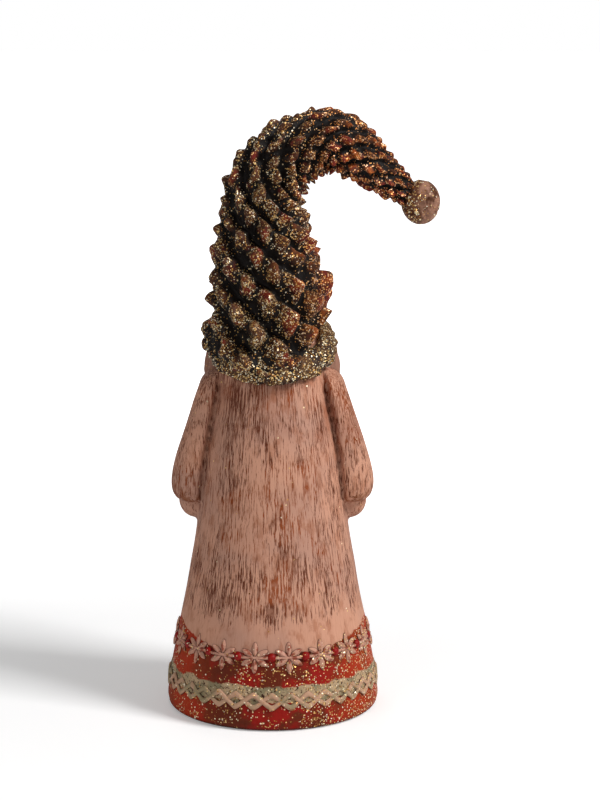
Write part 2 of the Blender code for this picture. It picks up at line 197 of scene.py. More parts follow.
# %% Node helpers
def plug(tree, value, socket):
    """Feed a socket from another socket, or give it a plain value."""
    if isinstance(value, bpy.types.NodeSocket):
        tree.links.new(value, socket)
    else:
        socket.default_value = value


def new_group(name, inputs, outputs):
    group = bpy.data.node_groups.new(name, "ShaderNodeTree")
    for label, kind, value in inputs:
        socket = group.interface.new_socket(label, in_out="INPUT", socket_type=kind)
        if value is not None:
            socket.default_value = value
    for label, kind in outputs:
        group.interface.new_socket(label, in_out="OUTPUT", socket_type=kind)
    start = group.nodes.new("NodeGroupInput")
    end = group.nodes.new("NodeGroupOutput")
    return group, start.outputs, end.inputs


def place_group(tree, group, **values):
    node = tree.nodes.new("ShaderNodeGroup")
    node.node_tree = group
    for label, value in values.items():
        plug(tree, value, node.inputs[label])
    return node.outputs


def add_node(tree, kind, settings=None, **values):
    """Node of a kind, with its settings; i0 is its first input, and other inputs go by name."""
    node = tree.nodes.new(kind)
    for key, value in (settings or {}).items():
        setattr(node, key, value)
    for key, value in values.items():
        by_number = key[0] == "i" and key[1:].isdigit()
        plug(tree, value, node.inputs[int(key[1:]) if by_number else key])
    return node.outputs


def math_node(tree, operation, first, second=0.0, third=0.0):
    return add_node(tree, "ShaderNodeMath", {"operation": operation}, i0=first, i1=second, i2=third)[0]


def times(tree, first, second):
    return math_node(tree, "MULTIPLY", first, second)


def vector_node(tree, operation, first, **values):
    return add_node(tree, "ShaderNodeVectorMath", {"operation": operation}, i0=first, **values)


def axes_of(tree, vector):
    """X, Y and Z of a vector, each by itself."""
    return tuple(add_node(tree, "ShaderNodeSeparateXYZ", None, Vector=vector))


def range_node(tree, value, low, high, to_low=0.0, to_high=1.0):
    """Soft step of a value between low and high; low may be the larger one."""
    return add_node(tree, "ShaderNodeMapRange", {"interpolation_type": "SMOOTHSTEP"},
                    i0=value, i1=low, i2=high, i3=to_low, i4=to_high)[0]


def mix_colour(tree, share, first, second, blend="MIX"):
    return add_node(tree, "ShaderNodeMix", {"data_type": "RGBA", "blend_type": blend},
                    i0=share, i6=first, i7=second)[2]


def noise_node(tree, vector, scale, detail=3.0, roughness=0.55, distortion=0.0):
    return add_node(tree, "ShaderNodeTexNoise", None, Vector=vector, Scale=scale, Detail=detail,
                    Roughness=roughness, Distortion=distortion)["Fac"]


def patches(tree, vector, scale, detail, low, high, to_low=0.0, to_high=1.0):
    """Noise with a soft threshold: patches of 1 on a ground of 0."""
    return range_node(tree, noise_node(tree, vector, scale, detail), low, high, to_low, to_high)


def drawn_out(tree, vector, share):
    """A pattern's coordinates, stretched upwards: the pattern gets 1 / share times as tall."""
    return add_node(tree, "ShaderNodeMapping", None, Vector=vector, Scale=(1.0, 1.0, share))[0]


def linear(red, green, blue):
    """Colour of paint from its 0 to 255 values on a screen."""
    def channel(value):
        value /= 255
        return value / 12.92 if value <= 0.04045 else ((value + 0.055) / 1.055) ** 2.4
    return (channel(red), channel(green), channel(blue), 1.0)


WHITE = (1.0, 1.0, 1.0, 1.0)
print("mid grey in light units:", round(linear(128, 128, 128)[0], 3))

# %% [markdown]
# ## Dry brushing
# A nearly dry brush, dragged down, skips over the surface and leaves thin upright streaks of
# the brown below. On a round coat, streaks made from plain coordinates would be cut slantwise
# by the taper, so the place is first rolled onto an upright cylinder. A sleeve's flat back keeps
# plain coordinates. Noise that is drawn out upwards, against a threshold, gives the streaks.

# %% Dry brush group
STREAK_ACROSS = 0.58 * MM
STREAK_ALONG = 0.085
UNROLL_R = 34.0 * MM
BARE_EDGE = 1.065
COVER_SHARE = 0.36

dry_brush, given, made = new_group(
    "dry_brush",
    [("Vector", "NodeSocketVector", None), ("Cover", "NodeSocketFloat", 0.5),
     ("Flat", "NodeSocketFloat", 0.0)],
    [("Mask", "NodeSocketFloat"), ("Grain", "NodeSocketFloat")])
x, y, z = axes_of(dry_brush, given["Vector"])
level_part = add_node(dry_brush, "ShaderNodeCombineXYZ", None, X=x, Y=y)[0]
outward = vector_node(dry_brush, "NORMALIZE", level_part)[0]
around = vector_node(dry_brush, "SCALE", outward, Scale=UNROLL_R)[0]
upright = add_node(dry_brush, "ShaderNodeCombineXYZ", None, Z=z)[0]
rolled = vector_node(dry_brush, "ADD", around, i1=upright)[0]
rolled = add_node(dry_brush, "ShaderNodeMix", {"data_type": "VECTOR"}, i0=given["Flat"], i4=rolled,
                  i5=given["Vector"])[1]
fine = noise_node(dry_brush, drawn_out(dry_brush, rolled, STREAK_ALONG), 1.0 / STREAK_ACROSS, 5.0, 0.7, 0.3)
broad = noise_node(dry_brush, drawn_out(dry_brush, rolled, 0.4), 95.0, 2.0)
ragged = noise_node(dry_brush, drawn_out(dry_brush, rolled, 0.3), 1700.0, 2.0)
level = math_node(dry_brush, "MULTIPLY_ADD", broad, 0.34, fine)
level = math_node(dry_brush, "MULTIPLY_ADD", ragged, 0.24, level)
edge = math_node(dry_brush, "SUBTRACT", BARE_EDGE, times(dry_brush, given["Cover"], COVER_SHARE))
mask = range_node(dry_brush, math_node(dry_brush, "SUBTRACT", level, edge), -0.01, 0.06)
dry_brush.links.new(mask, made["Mask"])
dry_brush.links.new(fine, made["Grain"])
print("streaks are", round(STREAK_ACROSS / STREAK_ALONG / MM, 1), "mm long")

# %% [markdown]
# ## Wash and painted shade
# Thin dark paint is wiped off the high places and stays in the hollows, which makes cast detail
# readable. A painter finds hollows by eye; here ambient occlusion finds them, as it tells how much
# of its surroundings a point sees within a short reach. So the darkening is partly this wash and
# partly painted shade: creases, recesses and places under other parts are darkened as shade darkens them.

# %% Wash group
wash_and_shade, given, made = new_group(
    "wash_and_shade", [("Reach", "NodeSocketFloat", 1.5 * MM)], [("Mask", "NodeSocketFloat")])
seen = add_node(wash_and_shade, "ShaderNodeAmbientOcclusion", {"samples": 6}, Distance=given["Reach"])["AO"]
wash_and_shade.links.new(range_node(wash_and_shade, seen, 0.90, 0.50), made["Mask"])
print("wash group has", len(wash_and_shade.nodes), "nodes")

# %% [markdown]
# ## Glitter
# Glitter is a scatter of tiny foil grains, each a little tilted and toned its own way. Real
# flakes would be hundreds of thousands of faces. The cells of a Voronoi pattern do the same:
# each cell is one grain, with its own random colour to draw size, tone and tilt from.

# %% Glitter group
GRAIN = 0.60 * MM
# The palest tones are painted glints, grains coloured near white as if they caught the lamp; the darker
# tones are the gold foil's own colour.
GLITTER_TONES_AND_GLINTS = ((0.0, (104, 62, 26)), (0.30, (190, 134, 66)), (0.62, (246, 208, 136)),
                 (1.0, (255, 250, 226)))

glitter, given, made = new_group(
    "gold_glitter",
    [("Vector", "NodeSocketVector", None), ("Normal", "NodeSocketVector", None),
     ("Density", "NodeSocketFloat", 0.2), ("Tilt", "NodeSocketFloat", 0.9)],
    [("Mask", "NodeSocketFloat"), ("Tint", "NodeSocketColor"), ("Normal", "NodeSocketVector")])
cells = add_node(glitter, "ShaderNodeTexVoronoi", None, Vector=given["Vector"], Scale=1.0 / GRAIN)
drawn = add_node(glitter, "ShaderNodeSeparateColor", None, Color=cells["Color"])
size = range_node(glitter, drawn[2], 0.0, 1.0, 0.34, 0.58)
inside = math_node(glitter, "LESS_THAN", cells["Distance"], size)
chosen = math_node(glitter, "LESS_THAN", drawn[0], given["Density"])
glitter.links.new(times(glitter, inside, chosen), made["Mask"])
tint = glitter.nodes.new("ShaderNodeValToRGB")
glitter.links.new(drawn[1], tint.inputs["Fac"])
while len(tint.color_ramp.elements) < len(GLITTER_TONES_AND_GLINTS):
    tint.color_ramp.elements.new(0.5)
for element, (place, tone) in zip(tint.color_ramp.elements, GLITTER_TONES_AND_GLINTS):
    element.position = place
    element.color = linear(*tone)
glitter.links.new(tint.outputs[0], made["Tint"])
centred = vector_node(glitter, "SUBTRACT", cells["Color"], i1=(0.5, 0.5, 0.5))[0]
tilted = vector_node(glitter, "SCALE", centred, Scale=given["Tilt"])[0]
summed = vector_node(glitter, "ADD", given["Normal"], i1=tilted)[0]
glitter.links.new(vector_node(glitter, "NORMALIZE", summed)[0], made["Normal"])
print("groups:", [group.name for group in bpy.data.node_groups])

# %% [markdown]
# ## One way to lay paint
# Each paint is a base colour chain, and most also carry glitter. These functions take the
# chain's colour, roughness and height and finish the material around one Principled BSDF.

# %% Paint builder
MATT = 0.22
FOIL_METAL = 0.45
FOIL_ROUGH = 0.28


def start_paint(name):
    material = bpy.data.materials.new(name)
    material.use_nodes = True
    tree = material.node_tree
    surface = tree.nodes["Principled BSDF"].inputs
    surface["Specular IOR Level"].default_value = MATT
    where = tree.nodes.new("ShaderNodeTexCoord").outputs["Object"]
    return material, tree, surface, where


def end_paint(tree, surface, where, colour, rough, height, depth, density=None, stain=WHITE):
    """Join colour, roughness, relief and, with a density, glitter to the surface shader."""
    facing = add_node(tree, "ShaderNodeBump", None, Height=height, Strength=1.0, Distance=depth)[0]
    if density is not None:
        grains = place_group(tree, glitter, Vector=where, Normal=facing, Density=density)
        mask = grains["Mask"]
        foil = mix_colour(tree, 1.0, grains["Tint"], stain, "MULTIPLY")
        colour = mix_colour(tree, mask, colour, foil)
        tree.links.new(times(tree, mask, FOIL_METAL), surface["Metallic"])
        rough = add_node(tree, "ShaderNodeMix", {"data_type": "FLOAT"}, i0=mask, i2=rough, i3=FOIL_ROUGH)[0]
        facing = add_node(tree, "ShaderNodeMix", {"data_type": "VECTOR"}, i0=mask, i4=facing,
                          i5=grains["Normal"])[1]
    tree.links.new(colour, surface["Base Color"])
    tree.links.new(rough, surface["Roughness"])
    tree.links.new(facing, surface["Normal"])
    print("paint with", len(tree.nodes), "nodes")


def washed_and_shaded(tree, colour, dark, reach, strength=0.9):
    """Darken a colour in its hollows: thin dark paint, and painted shade in creases and recesses."""
    mask = place_group(tree, wash_and_shade, Reach=reach)["Mask"]
    return mix_colour(tree, times(tree, mask, strength), colour, dark)


print("glitter is", FOIL_METAL, "metallic and", FOIL_ROUGH, "rough")

# %% [markdown]
# ## The coat's paint
# Brown went on first, then pale pink was dragged down over it with a nearly dry brush. The
# streaks are denser on the shoulders and above the hem, with rust rubbed in at the shoulders
# and cuffs. Each of these is a mask, laid over the one before in the order of the brush.

# %% Coat paint
PINK = linear(204, 150, 124)
PINK_GREY = linear(184, 138, 118)
UNDERCOAT = linear(100, 48, 27)
UNDERCOAT_WARM = linear(146, 72, 36)
OCHRE = linear(150, 82, 44)
RUST = linear(150, 74, 34)
CUFF_BROWN = linear(130, 70, 34)
# Dark brown for specks of real dirt, and for painted shade where the wash darkens hollows and creases.
DIRT_AND_SHADE = linear(58, 26, 16)
SHOULDER = (100.0 * MM, 126.0 * MM)
LOWER = (75.0 * MM, 45.0 * MM)
CLEAR = (45.0 * MM, 34.0 * MM)
SLEEVE_LEAST = 72.0 * MM
COAT_TAPER = 0.147
SLEEVE_FROM = 39.4 * MM
CUFF_Z = 84.5 * MM
CUFF_FROM = 27.5 * MM

coat_paint, tree, surface, where = start_paint("coat_paint")
x, y, z = axes_of(tree, where)
aside = math_node(tree, "ABSOLUTE", x)
pink = mix_colour(tree, patches(tree, where, 30.0, 3.0, 0.38, 0.66), PINK, PINK_GREY)
shoulder = range_node(tree, z, *SHOULDER)
cover = math_node(tree, "MULTIPLY_ADD", shoulder, 0.16, 0.64)
cover = math_node(tree, "MULTIPLY_ADD", range_node(tree, z, *LOWER), 0.10, cover)
cover = math_node(tree, "MULTIPLY_ADD", range_node(tree, z, *CLEAR), -0.5, cover)
out_of_coat = math_node(tree, "MULTIPLY_ADD", z, COAT_TAPER, aside)
on_sleeve = math_node(tree, "GREATER_THAN", out_of_coat, SLEEVE_FROM)
on_sleeve = times(tree, on_sleeve, math_node(tree, "GREATER_THAN", z, SLEEVE_LEAST))
brushing = place_group(tree, dry_brush, Vector=where, Cover=cover, Flat=on_sleeve)
streaks = brushing["Mask"]
grain = brushing["Grain"]
brown = mix_colour(tree, patches(tree, where, 55.0, 2.0, 0.48, 0.64), UNDERCOAT, UNDERCOAT_WARM)
strength = patches(tree, where, 220.0, 2.0, 0.30, 0.56, 0.55, 1.0)
colour = mix_colour(tree, times(tree, range_node(tree, grain, 0.46, 0.62), 0.14), pink, OCHRE)
mottled = noise_node(tree, drawn_out(tree, where, 0.45), 260.0, 4.0, 0.65)
mottled = range_node(tree, mottled, 0.50, 0.66)
colour = mix_colour(tree, times(tree, mottled, 0.42), colour, OCHRE)
rust = times(tree, patches(tree, where, 62.0, 4.0, 0.44, 0.62), shoulder)
rust = times(tree, rust, range_node(tree, x, 4.0 * MM, -20.0 * MM, 0.35, 1.0))
colour = mix_colour(tree, times(tree, rust, 0.8), colour, RUST)
colour = mix_colour(tree, times(tree, streaks, strength), colour, brown)
cuff = times(tree, range_node(tree, z, CUFF_Z + 5.0 * MM, CUFF_Z - 3.0 * MM),
             range_node(tree, z, CUFF_Z - 4.6 * MM, CUFF_Z - 3.2 * MM))
cuff = times(tree, times(tree, cuff, math_node(tree, "GREATER_THAN", aside, CUFF_FROM)),
             patches(tree, where, 330.0, 3.0, 0.36, 0.56))
colour = mix_colour(tree, times(tree, cuff, 0.8), colour, CUFF_BROWN)
# Wash and painted shade: creases where the sleeves meet the coat, places under the brim and round the
# ornament are darkened, more toward the hem.
colour = washed_and_shaded(tree, colour, DIRT_AND_SHADE, 2.4 * MM, range_node(tree, z, 60.0 * MM, 40.0 * MM, 0.45, 0.8))
print("the coat's pink takes", len(tree.nodes), "nodes")

# %% [markdown]
# Below a slightly wavy line, which rises at the sides, the coat is red, and a silver band runs
# round it. Hand-laid edges are never straight: a little noise is added to the height before it
# is compared with the line. The glitter lies in patches and grows denser toward the key lamp's
# side: painted glints, where the lit grains sparkle.

# %% Red hem and silver band
RED = linear(146, 14, 2)
RED_DARK = linear(98, 32, 6)
RED_ORANGE = linear(180, 62, 8)
SILVER = linear(184, 156, 122)
SILVER_DARK = linear(134, 122, 92)
RED_LINE = 29.5 * MM
HEM_WAVE = 4.0 * MM
HEM_REACH = 40.0 * MM
HEM_RISE = 11.0 * MM
BAND_LOW = 10.9 * MM
BAND_HIGH = 17.2 * MM
BAND_WAVE = 5.0 * MM
STRAY_GRAINS = 0.003

rise = times(tree, math_node(tree, "POWER", math_node(tree, "DIVIDE", aside, HEM_REACH), 5.0), HEM_RISE)
wavy = math_node(tree, "MULTIPLY_ADD", noise_node(tree, where, 170.0, 3.0), -HEM_WAVE, z)
wavy = math_node(tree, "SUBTRACT", math_node(tree, "ADD", wavy, HEM_WAVE / 2), rise)
is_red = range_node(tree, wavy, RED_LINE + 0.5 * MM, RED_LINE - 0.2 * MM)
red = mix_colour(tree, patches(tree, where, 85.0, 3.0, 0.45, 0.60), RED, RED_DARK)
red = mix_colour(tree, times(tree, range_node(tree, aside, 18.0 * MM, 36.0 * MM), 0.55), red, RED_ORANGE)
# The red is darkened in its hollows by the wash, partly dark paint and partly painted shade.
colour = mix_colour(tree, is_red, colour, washed_and_shaded(tree, red, DIRT_AND_SHADE, 2.0 * MM, 0.7))
edge = math_node(tree, "MULTIPLY_ADD", noise_node(tree, where, 150.0, 4.0), BAND_WAVE, z)
edge = math_node(tree, "SUBTRACT", edge, BAND_WAVE / 2)
in_band = times(tree, range_node(tree, edge, BAND_LOW - 0.3 * MM, BAND_LOW + 0.3 * MM),
                range_node(tree, edge, BAND_HIGH + 0.5 * MM, BAND_HIGH - 0.3 * MM))
silver = mix_colour(tree, patches(tree, where, 160.0, 4.0, 0.42, 0.60), SILVER, SILVER_DARK)
silver = mix_colour(tree, patches(tree, where, 1100.0, 2.0, 0.56, 0.64), silver, DIRT_AND_SHADE)
colour = mix_colour(tree, in_band, colour, silver)
rough = range_node(tree, grain, 0.3, 0.7, 0.62, 0.82)
height = math_node(tree, "MULTIPLY_ADD", streaks, -0.8, mottled)
# Painted glints: the glitter gets denser toward the key lamp's side, so more bright grains sit where lit
# glitter sparkles.
drift = patches(tree, where, 60.0, 3.0, 0.40, 0.60, 0.04, 0.36)
drift = math_node(tree, "MULTIPLY_ADD", range_node(tree, x, -2.0 * MM, -30.0 * MM), 0.20, drift)
density = math_node(tree, "SUBTRACT", drift, STRAY_GRAINS)
density = math_node(tree, "MULTIPLY_ADD", density, is_red, STRAY_GRAINS)
end_paint(tree, surface, where, colour, rough, height, 0.08 * MM, density)

# %% [markdown]
# ## The coat
# The coat is a body of revolution, so its outline is spun about the axis. The sleeves and
# mittens hang at the sides and melt into it, because the mould was carved in one. Fusing the
# shapes through voxels gives those soft inner corners.

# %% Coat outline
COAT_SIDE = [
    (41.2 * MM, 4.2 * MM), (39.6 * MM, 16.0 * MM), (37.3 * MM, 28.0 * MM), (35.0 * MM, 39.0 * MM),
    (32.3 * MM, 54.0 * MM), (29.8 * MM, 68.6 * MM), (27.7 * MM, 85.0 * MM), (26.0 * MM, 100.0 * MM),
    (23.9 * MM, 112.0 * MM), (21.8 * MM, 123.0 * MM), (20.4 * MM, 133.0 * MM), (18.0 * MM, 142.0 * MM)]
BASE_FLAT_R = 38.8 * MM
BASE_ROUND_STEPS = 8
SIDE_STEPS = 60
COAT_TURNS = 160


def coat_radius(height):
    for (low_r, low_z), (high_r, high_z) in zip(COAT_SIDE, COAT_SIDE[1:]):
        if height <= high_z:
            part = max((height - low_z) / (high_z - low_z), 0.0)
            return low_r + (high_r - low_r) * part
    return COAT_SIDE[-1][0]


def coat_outline():
    edge_r, edge_z = COAT_SIDE[0]
    points = [(0.0, 0.0), (BASE_FLAT_R * 0.5, 0.0), (BASE_FLAT_R, 0.0)]
    for step in range(1, BASE_ROUND_STEPS + 1):
        turn = math.pi / 2 * step / BASE_ROUND_STEPS
        points.append((BASE_FLAT_R + (edge_r - BASE_FLAT_R) * math.sin(turn),
                       edge_z * (1 - math.cos(turn))))
    points += [smooth_row(COAT_SIDE, step / SIDE_STEPS) for step in range(1, SIDE_STEPS + 1)]
    return points + [(0.0, COAT_SIDE[-1][1])]


def spun(bm, outline, steps):
    verts = [bm.verts.new((radius, 0.0, height)) for radius, height in outline]
    edges = [bm.edges.new(pair) for pair in zip(verts, verts[1:])]
    bmesh.ops.spin(bm, geom=verts + edges, cent=(0, 0, 0), axis=UP, angle=2 * math.pi,
                   steps=steps, use_merge=True)
    bmesh.ops.remove_doubles(bm, verts=bm.verts[:], dist=MERGE)


def ring_section(radius, half_out, half_up, steps, at=0.0):
    """Closed oval outline around a radius, for spinning into a ring."""
    turns = [2 * math.pi * step / steps for step in range(steps)] + [0.0]
    return [(radius + half_out * math.cos(turn), at + half_up * math.sin(turn)) for turn in turns]


print("the outline has", len(coat_outline()), "points")

# %% [markdown]
# A sleeve is a row of oval sections, wider toward the cuff. Seen from behind its back is rather
# flat and ends in a crisp inner side beside the coat, so the back half of each section is
# flattened and then cut off on a slant. A mitten and its thumb are egg shapes below.

# %% Sleeves and mittens
SLEEVE = [
    (135.0, 14.0, -0.5, 3.0, 3.5), (130.0, 17.3, -0.8, 8.6, 8.5), (123.5, 19.9, -1.2, 9.1, 9.8),
    (113.5, 23.0, -2.0, 9.2, 10.6), (104.0, 26.0, -3.0, 9.3, 11.6), (95.0, 28.6, -4.0, 9.4, 12.6),
    (88.5, 29.7, -4.6, 9.5, 13.2), (84.0, 29.7, -4.8, 9.0, 12.8), (81.2, 29.4, -4.9, 7.0, 10.8),
    (80.6, 29.2, -4.9, 3.0, 5.0)]
MITTEN = ((29.6, -4.8, 79.6), (6.9, 8.2, 7.4))
THUMB = ((31.5, -12.6, 78.6), (3.0, 3.2, 5.0))
SLEEVE_BACK = 2.2
SLEEVE_FLAT = 0.75
SLEEVE_SUNK = 1.0
SLEEVE_ROOT = 6.5
SLEEVE_SLANT = 0.42


def sleeve_place(side):
    """Oval sections with a flatter back, cut off at a slanted inner side beside the coat."""
    def place(share, turn, out):
        height, x, y, half_x, half_y = smooth_row(SLEEVE, share)
        back = math.sin(turn)
        flatter = back ** SLEEVE_FLAT if back > 0.0 else back
        backward = ease(back, 0.0, 0.3)
        x += out * half_x * math.cos(turn)
        y += out * half_y * flatter + SLEEVE_BACK * backward
        inner_edge = coat_radius(height * MM) / MM - SLEEVE_SUNK
        inner_edge += SLEEVE_SLANT * max(y - SLEEVE_ROOT, 0.0)
        x += max(inner_edge - x, 0.0) * backward
        return Vector((side * x, y, height)) * MM
    return place


print("sleeve length", SLEEVE[0][0] - SLEEVE[-1][0], "mm")

# %% [markdown]
# The forms are cast together and smoothed a little. Then the whole skin is made slightly uneven,
# as a hand-worked surface is, except for the underside, which has to stand flat.

# %% Cast the coat
COAT_VOXEL = 0.73 * MM
COAT_SMOOTH = 2
HAND_SCALE = 14.0 * MM
HAND_DEPTH = 0.22 * MM
UNDERSIDE = 1.5 * MM

bm = bmesh.new()
spun(bm, coat_outline(), COAT_TURNS)
for side in (1, -1):
    sphere_form(bm, 48, 60, sleeve_place(side))
    lump(bm, mirrored(in_mm(MITTEN[0]), side), in_mm(MITTEN[1]))
    lump(bm, mirrored(in_mm(THUMB[0]), side), in_mm(THUMB[1]), 24, 16)
coat_skin = cast_together("coat", bm, COAT_VOXEL, COAT_SMOOTH)
normals = [vert.normal.copy() for vert in coat_skin.vertices]
for vert, normal in zip(coat_skin.vertices, normals):
    if vert.co.z > UNDERSIDE:
        vert.co += normal * (noise.noise(vert.co / HAND_SCALE) - 1.0) * HAND_DEPTH
finish_piece("coat", coat_skin, coat_paint)

# %% [markdown]
# ## The hem ornament
# The ornament was picked out after the coat: petals and beads in pink and red, darkened at
# their edges by the wash, which is partly dark paint and partly painted shade, the cords in worn
# silver that turns rusty toward the foot. The same builder makes each paint, so only the colours
# and the glitter differ.

# %% Ornament paints
PETAL = linear(196, 144, 122)
PETAL_WORN = linear(150, 78, 58)
BEAD_RED = linear(140, 10, 4)
CORD_PINK = linear(190, 148, 120)
CORD_GREEN = linear(150, 132, 100)
CORD_RUST = linear(150, 80, 50)

petal_paint, tree, surface, where = start_paint("petal_paint")
worn = noise_node(tree, where, 500.0, 3.0)
colour = mix_colour(tree, range_node(tree, worn, 0.50, 0.64), PETAL, PETAL_WORN)
# Wash and painted shade darken the petals' edges and the creases round them.
colour = washed_and_shaded(tree, colour, DIRT_AND_SHADE, 2.6 * MM, 1.0)
# Painted glints: the glitter gets denser toward the key lamp's side.
dense = range_node(tree, axes_of(tree, where)[0], -2.0 * MM, -30.0 * MM, 0.08, 0.42)
end_paint(tree, surface, where, colour, range_node(tree, worn, 0.3, 0.7, 0.5, 0.75), worn, 0.1 * MM, dense)

bead_paint, tree, surface, where = start_paint("bead_paint")
worn = noise_node(tree, where, 400.0, 3.0)
colour = mix_colour(tree, range_node(tree, worn, 0.5, 0.7), BEAD_RED, RED)
# Wash and painted shade in the beads' hollows.
colour = washed_and_shaded(tree, colour, DIRT_AND_SHADE, 1.6 * MM)
end_paint(tree, surface, where, colour, range_node(tree, worn, 0.3, 0.7, 0.35, 0.55), worn, 0.05 * MM, 0.08)

silver_paint, tree, surface, where = start_paint("silver_paint")
x, y, z = axes_of(tree, where)
worn = noise_node(tree, where, 350.0, 4.0)
colour = mix_colour(tree, patches(tree, where, 120.0, 3.0, 0.45, 0.62), CORD_PINK, CORD_GREEN)
low = range_node(tree, math_node(tree, "MULTIPLY_ADD", worn, 4.0 * MM, z), 11.4 * MM, 10.0 * MM)
# Wash and painted shade in the cords' hollows and crossings.
colour = washed_and_shaded(tree, mix_colour(tree, low, colour, CORD_RUST), DIRT_AND_SHADE, 1.6 * MM, 0.95)
# Painted glints: the glitter gets denser toward the key lamp's side.
dense = math_node(tree, "MULTIPLY_ADD", range_node(tree, x, 4.0 * MM, -30.0 * MM), 0.36, 0.16)
rough = range_node(tree, worn, 0.3, 0.7, 0.42, 0.65)
end_paint(tree, surface, where, colour, rough, worn, 0.12 * MM, dense)

# %% [markdown]
# All of the ornament is cast onto the coat. Each piece is made flat, and then every vertex is
# wrapped onto the coat by its angle, its height and how far it stands off the surface.

# %% Wrap helper
WAVES = 18
ROW_Z = 28.0 * MM


def on_coat(turn, height, proud):
    """Point at an angle round the coat, raised off its surface."""
    radius = coat_radius(height) + proud
    return Vector((radius * math.cos(turn), radius * math.sin(turn), height))


print("one snowflake every", round(2 * math.pi * coat_radius(ROW_Z) / WAVES / MM, 1), "mm")

# %% [markdown]
# Eighteen six-petal snowflakes stand in a row. A petal is a sphere pressed to a leaf: narrower
# toward both ends, and pinched to a ridge on top. It has few faces, as there are 108 of them.

# %% Snowflakes
PETALS = 6
PETAL_IN = 0.4 * MM
PETAL_OUT = 5.9 * MM
PETAL_HALF = 1.15 * MM
PETAL_RISE = 0.75 * MM
PETAL_POINT = 0.25
PETAL_BELLY = 0.5


def petal(bm, turn, lean):
    made = bmesh.ops.create_uvsphere(bm, u_segments=16, v_segments=8, radius=1.0)
    for vert in made["verts"]:
        x, y, z = vert.co
        reach = (PETAL_IN + PETAL_OUT) / 2 + x * (PETAL_OUT - PETAL_IN) / 2
        width = y * PETAL_HALF * (1.0 - PETAL_POINT * x * x)
        ridge = 1.0 - abs(y) if z > 0 else PETAL_BELLY
        sideways = reach * math.sin(lean) + width * math.cos(lean)
        height = ROW_Z + reach * math.cos(lean) - width * math.sin(lean)
        vert.co = on_coat(turn + sideways / coat_radius(ROW_Z), height, z * PETAL_RISE * ridge)


bm = bmesh.new()
for wave in range(WAVES):
    for number in range(PETALS):
        petal(bm, 2 * math.pi * wave / WAVES, 2 * math.pi * number / PETALS)
finish_piece("snowflakes", new_mesh("snowflakes", bm), petal_paint)

# %% [markdown]
# A thin rib ties the snowflakes together, and a round bead sits on it between each two. The rib
# is half an oval, spun about the axis. The beads are small spheres, a little sunk in.

# %% Rib and beads
RIB_HALF = 0.8 * MM
RIB_RISE = 0.5 * MM
RIB_SUNK = 0.6 * MM
RIB_STEPS = 8
RIB_TURNS = 180
BEAD_R = 1.85 * MM
BEAD_SUNK = 0.7 * MM

rib = []
for step in range(RIB_STEPS + 1):
    lift = math.pi * step / RIB_STEPS
    rib.append((coat_radius(ROW_Z) - RIB_SUNK + (RIB_RISE + RIB_SUNK) * math.sin(lift),
                ROW_Z - RIB_HALF * math.cos(lift)))
bm = bmesh.new()
spun(bm, rib + rib[:1], RIB_TURNS)
finish_piece("hem_rib", new_mesh("hem_rib", bm), petal_paint)

bm = bmesh.new()
for wave in range(WAVES):
    turn = 2 * math.pi * (wave + 0.5) / WAVES
    lump(bm, on_coat(turn, ROW_Z, -BEAD_SUNK), (BEAD_R, BEAD_R, BEAD_R), 20, 12)
finish_piece("beads", new_mesh("beads", bm), bead_paint)

# %% [markdown]
# Below run two flat cords that zigzag against each other, one lying over the other. Each starts
# as a plain ring, spun from an oval section. Its vertices are then moved up and down along a
# zigzag with rounded corners, so the cord stays closed and has no seam.

# %% Zigzag cords
STRAND_Z = 11.8 * MM
STRAND_SWING = 2.4 * MM
STRAND_HALF = 1.15 * MM
STRAND_RISE = {1: 0.75 * MM, -1: 0.50 * MM}
STRAND_STEPS = 12
STRAND_SIDES = 10
STRAND_CORNER = 0.97
STRAND_PEAK = 1.33
RING_R = 40.0 * MM
RING_APART = 5.0 * MM


def cord_height(turn, side):
    """Height of a zigzag cord's middle, with its corners a little rounded."""
    swing = math.asin(STRAND_CORNER * math.sin(WAVES * turn + math.pi / 2)) / STRAND_PEAK
    return STRAND_Z + side * STRAND_SWING * swing


bm = bmesh.new()
for side, rise in STRAND_RISE.items():
    section = ring_section(RING_R, rise, STRAND_HALF, STRAND_SIDES, side * RING_APART)
    spun(bm, section, 2 * WAVES * STRAND_STEPS)
for vert in bm.verts:
    side = 1 if vert.co.z > 0 else -1
    turn = math.atan2(vert.co.y, vert.co.x)
    proud = math.hypot(vert.co.x, vert.co.y) - RING_R
    vert.co = on_coat(turn, cord_height(turn, side) + vert.co.z - side * RING_APART, proud)
finish_piece("zigzag", new_mesh("zigzag", bm), silver_paint)

# %% [markdown]
# ## The hat's spiral
# Pine-cone scales follow a spiral: from one to the next the turn is always the same, about 137.5
# degrees, and the step forward shrinks with the hat. Every eighth and every thirteenth scale are
# neighbours, so a patch between them tiles the hat without a gap.

# %% Hat line
HAT_LINE = [
    (0.5, 134.4, 25.6), (0.6, 146.3, 26.4), (1.3, 157.0, 25.6), (2.1, 166.0, 24.5), (3.2, 173.7, 22.4),
    (3.6, 181.3, 20.9), (3.9, 188.3, 18.9), (4.0, 194.3, 17.7), (3.4, 199.5, 17.1), (1.9, 204.3, 16.5),
    (-1.0, 208.8, 15.8), (-4.8, 212.9, 15.2), (-9.6, 216.1, 14.7), (-15.0, 218.3, 14.1),
    (-20.3, 219.5, 13.8), (-25.5, 218.6, 13.2), (-30.2, 216.0, 12.0), (-35.1, 212.2, 10.6),
    (-40.0, 208.2, 9.1), (-45.0, 204.3, 7.6), (-49.2, 201.0, 6.3), (-53.2, 198.1, 5.3)]
LINE_SAMPLES = 400
LOOK_ALONG = 4

